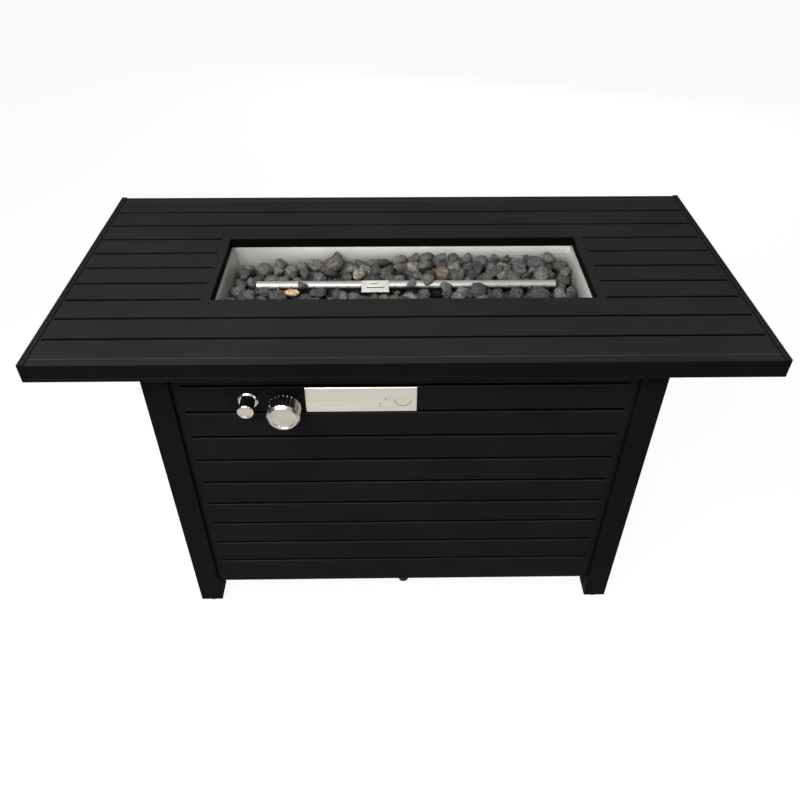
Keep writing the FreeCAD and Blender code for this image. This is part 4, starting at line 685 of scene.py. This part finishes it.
def rubble(chance):
    """Small broken stones that fill the bottom of the heap, as corner points of each."""
    for _ in range(RUBBLE_COUNT):
        middle = Vector((chance.uniform(-RUBBLE_HALF_LENGTH, RUBBLE_HALF_LENGTH),
                         chance.uniform(-RUBBLE_HALF_DEPTH, RUBBLE_HALF_DEPTH),
                         chance.uniform(*RUBBLE_LEVELS)))
        if abs(middle.y) < BURNER_GAP:
            middle.y = math.copysign(chance.uniform(BURNER_GAP, RUBBLE_HALF_DEPTH), middle.y)
        yield [middle + any_direction(chance) * chance.uniform(0.009, 0.014)
               for _ in range(RUBBLE_CORNERS)]


def pebble(place, radius, chance, corners):
    """Corner points of one loose stone, rounder the more corners it has."""
    return [Vector(place) + any_direction(chance) * radius for _ in range(corners)]


def crest(chance):
    """Stones heaped against the rear wall, higher to the right of the middle, as place and radius."""
    for row, (depth, level) in enumerate(CREST_ROWS):
        x = CREST_START + CREST_ROW_SHIFT * row
        while x < CREST_END:
            right_fall = 0.008 * max(0, (x - 0.17) / 0.07)
            ripple = 0.004 * math.sin(x * 40) ** 2
            left_fall = 0.012 * max(0, -0.02 - x) / 0.05
            hump = 0.0055 * math.exp(-((x - 0.075) / 0.05) ** 2)
            fall = (right_fall + ripple) + (left_fall - hump)
            radius = chance.uniform(0.009, 0.0135)
            place = (x, depth + chance.uniform(-0.006, 0.006),
                     level - fall + chance.uniform(-0.003, 0.003))
            yield place, radius
            x += radius * chance.uniform(1.7, 2.3)


def rock_pile():
    """The heap as knocked, dented and pitted stones, with rubble between them and stones laid on."""
    chance = random.Random(ROCK_SEED)
    pile = bmesh.new()
    tones = []

    def lay(corners, grow, tone):
        rock = bmesh.new()
        verts = [rock.verts.new(corner) for corner in corners]
        bmesh.ops.convex_hull(rock, input=verts)
        centre = sum(corners, Vector()) / len(corners)
        weathered(rock, centre, Vector(grow), chance, tone is not None)
        tones.extend([tone or rock_tone(chance)] * len(rock.verts))
        mesh = bpy.data.meshes.new("rock")
        rock.to_mesh(mesh)
        rock.free()
        pile.from_mesh(mesh)
        bpy.data.meshes.remove(mesh)

    def any_stretch():
        return chance.uniform(1.15, 1.5), chance.uniform(1.0, 1.2), chance.uniform(0.9, 1.1)

    for corners in [*loose_rocks("lava_rocks"), *rubble(chance)]:
        lay(corners, any_stretch(), None)
    for place, radius in crest(chance):
        lay(pebble(place, radius, chance, CREST_CORNERS), any_stretch(), None)
    for place, radius, grow, tone in LAID_STONES:
        lay(pebble(place, radius, chance, ROUND_CORNERS if tone else BROKEN_CORNERS), grow, tone)
    for face in pile.faces:
        face.smooth = True
    piece = add_piece("lava_rock_pile", pile, FINISHES["lava_stone"], "root", ("lava_rocks",))
    layer = piece.data.color_attributes.new("rock_tone", "FLOAT_COLOR", "POINT")
    for entry, tone in zip(layer.data, tones):
        entry.color = tone


def burner_lining():
    """A near-black lining inside the burner tube, painted shade seen through its ports."""
    shape = bmesh.new()
    lying = Matrix.Rotation(math.radians(90), 4, "Y")
    bmesh.ops.create_cone(shape, cap_ends=True, segments=40, radius1=BURNER_BORE, radius2=BURNER_BORE,
                          depth=BURNER_LENGTH,
                          matrix=Matrix.Translation((BURNER_SHIFT, 0, BURNER_AXIS)) @ lying)
    rims = [edge for edge in shape.edges if edge.calc_face_angle(0) > 1]
    rounded(shape, rims, 0.0006)
    add_piece("burner_shade_lining", shape, FINISHES["painted_shade_black"], "root")


def block(shape, size, place, radius):
    """Adds a small rounded block, its size and place given before the piece is turned."""
    laid = Matrix.Translation(place) @ Matrix.Diagonal((*size, 1))
    made = bmesh.ops.create_cube(shape, size=1, matrix=laid)
    rounded(shape, list({edge for vert in made["verts"] for edge in vert.link_edges}), radius)


def pressed_cover():
    """Folded cover over the spark: sloping plate, raised rim, two bars and two screws. The screws are
    made first, because after a bevel their flat heads are cut into triangles otherwise in each run."""
    shape = bmesh.new()
    for side in (-1, 1):
        screw_place = Matrix.Translation((0.0180 * side, 0.0055, 0.0011))
        bmesh.ops.create_cone(shape, cap_ends=True, segments=24, radius1=0.0018, radius2=0.0013,
                              depth=0.0012, matrix=screw_place)
    block(shape, (0.0460, 0.0212, 0.0012), (0, 0, 0), 0.0003)
    for side in (-1, 1):
        block(shape, (0.0016, 0.0200, 0.0012), (0.0215 * side, 0, 0.0010), 0.0004)
    block(shape, (0.0430, 0.0016, 0.0012), (0, -0.0094, 0.0010), 0.0004)
    block(shape, (0.0290, 0.0044, 0.0022), (0, 0.0008, 0.0014), 0.0008)
    block(shape, (0.0120, 0.0020, 0.0016), (-0.002, 0.0068, 0.0011), 0.0006)
    # The slots are near-black strips on the plate: painted shade in the openings
    slots = bmesh.new()
    block(slots, (0.0290, 0.0013, 0.0004), (0, -0.0024, 0.0007), 0.0001)
    block(slots, (0.0120, 0.0009, 0.0004), (-0.002, 0.0050, 0.0007), 0.0001)
    tilted = Matrix.Translation(COVER_PLACE) @ Matrix.Rotation(COVER_TILT, 4, "X")
    for part in (shape, slots):
        bmesh.ops.transform(part, matrix=tilted, verts=part.verts)
    add_piece("electrode_cover_pressed", shape, finish_of("electrode_cover"), "root",
              ("electrode_cover",))
    add_piece("electrode_cover_slots", slots, FINISHES["painted_shade_black"], "root")


def louvre_lips():
    """Rolled lip below each louvre line in the front panel, painted a little lighter than the paint as
    a painted highlight.
    """
    shape = bmesh.new()
    for row in range(LOUVRE_COUNT):
        level = LOUVRE_TOP - LOUVRE_PITCH * row - LOUVRE_HALF_HEIGHT - 0.0006
        block(shape, (LOUVRE_LENGTH, 0.0012, 0.0012), (0, PANEL_FRONT, level), 0.0005)
    add_piece("front_louvre_lips", shape, FINISHES["lip_highlight_paint"], "root")


def top_seams():
    """Near-black strip where the apron strips meet the top sheet: painted shade in the seam."""
    shape = bmesh.new()
    for side in (-1, 1):
        place = (0, SEAM_PLACE * side, TOP_LEVEL - 0.00012)
        block(shape, (SEAM_LENGTH, 0.0019, 0.0004), place, 0.0001)
    add_piece("top_seam_lines", shape, FINISHES["painted_shade_black"], "root")


def label_marks():
    """Plain setting marks on the label: an arc, a dot, and a bar over a short stroke."""
    shape = bmesh.new()
    middle = Vector((-0.004, LABEL_FRONT - 0.00005, 0.5175))
    ends = [shape.verts.new(middle + Vector((across, -0.00005, 0))) for across in (-0.0131, -0.0119)]
    line = shape.edges.new(ends)
    bmesh.ops.spin(shape, geom=[line, *ends], cent=middle, axis=(0, -1, 0), angle=math.radians(165),
                   steps=24, use_merge=False)
    bmesh.ops.recalc_face_normals(shape, faces=shape.faces)
    block(shape, (0.0016, 0.0002, 0.0034), (-0.0385, LABEL_FRONT, 0.5045), 0.00005)
    block(shape, (0.0060, 0.0002, 0.0008), (-0.0385, LABEL_FRONT, 0.5090), 0.00005)
    block(shape, (0.0020, 0.0002, 0.0030), (-0.0300, LABEL_FRONT, 0.5190), 0.00005)
    add_piece("label_marks", shape, FINISHES["label_print"], "root")


def finish_nodes():
    """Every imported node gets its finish."""
    for name, node in NODES.items():
        node.data.materials.clear()
        node.data.materials.append(finish_of(name))


make_camera()
make_world()
make_lamp("key", (-0.7, -1.15, 1.9), (0, -0.25, 0.5), size=(1.6, 0.9), watts=64)
make_lamp("fill", (1.7, -0.9, 2.2), (0, 0, 0.4), size=(1.6, 1.4), watts=14)
make_lamp("rear", (0.7, 2.7, 0.9), (0, 0.2, 0.3), size=(2.4, 0.8), watts=34, mirrored=False)
make_lamp("front", (0.2, -2.4, 1.4), (0, 0, 0.6), size=(2.4, 0.6), watts=18)
make_floor()
finish_nodes()
for node, radius in SOFT_EDGED.items():
    folded(node, radius)
rock_pile()
burner_lining()
pressed_cover()
louvre_lips()
top_seams()
label_marks()

scene = bpy.context.scene
scene.view_settings.view_transform = "Standard"
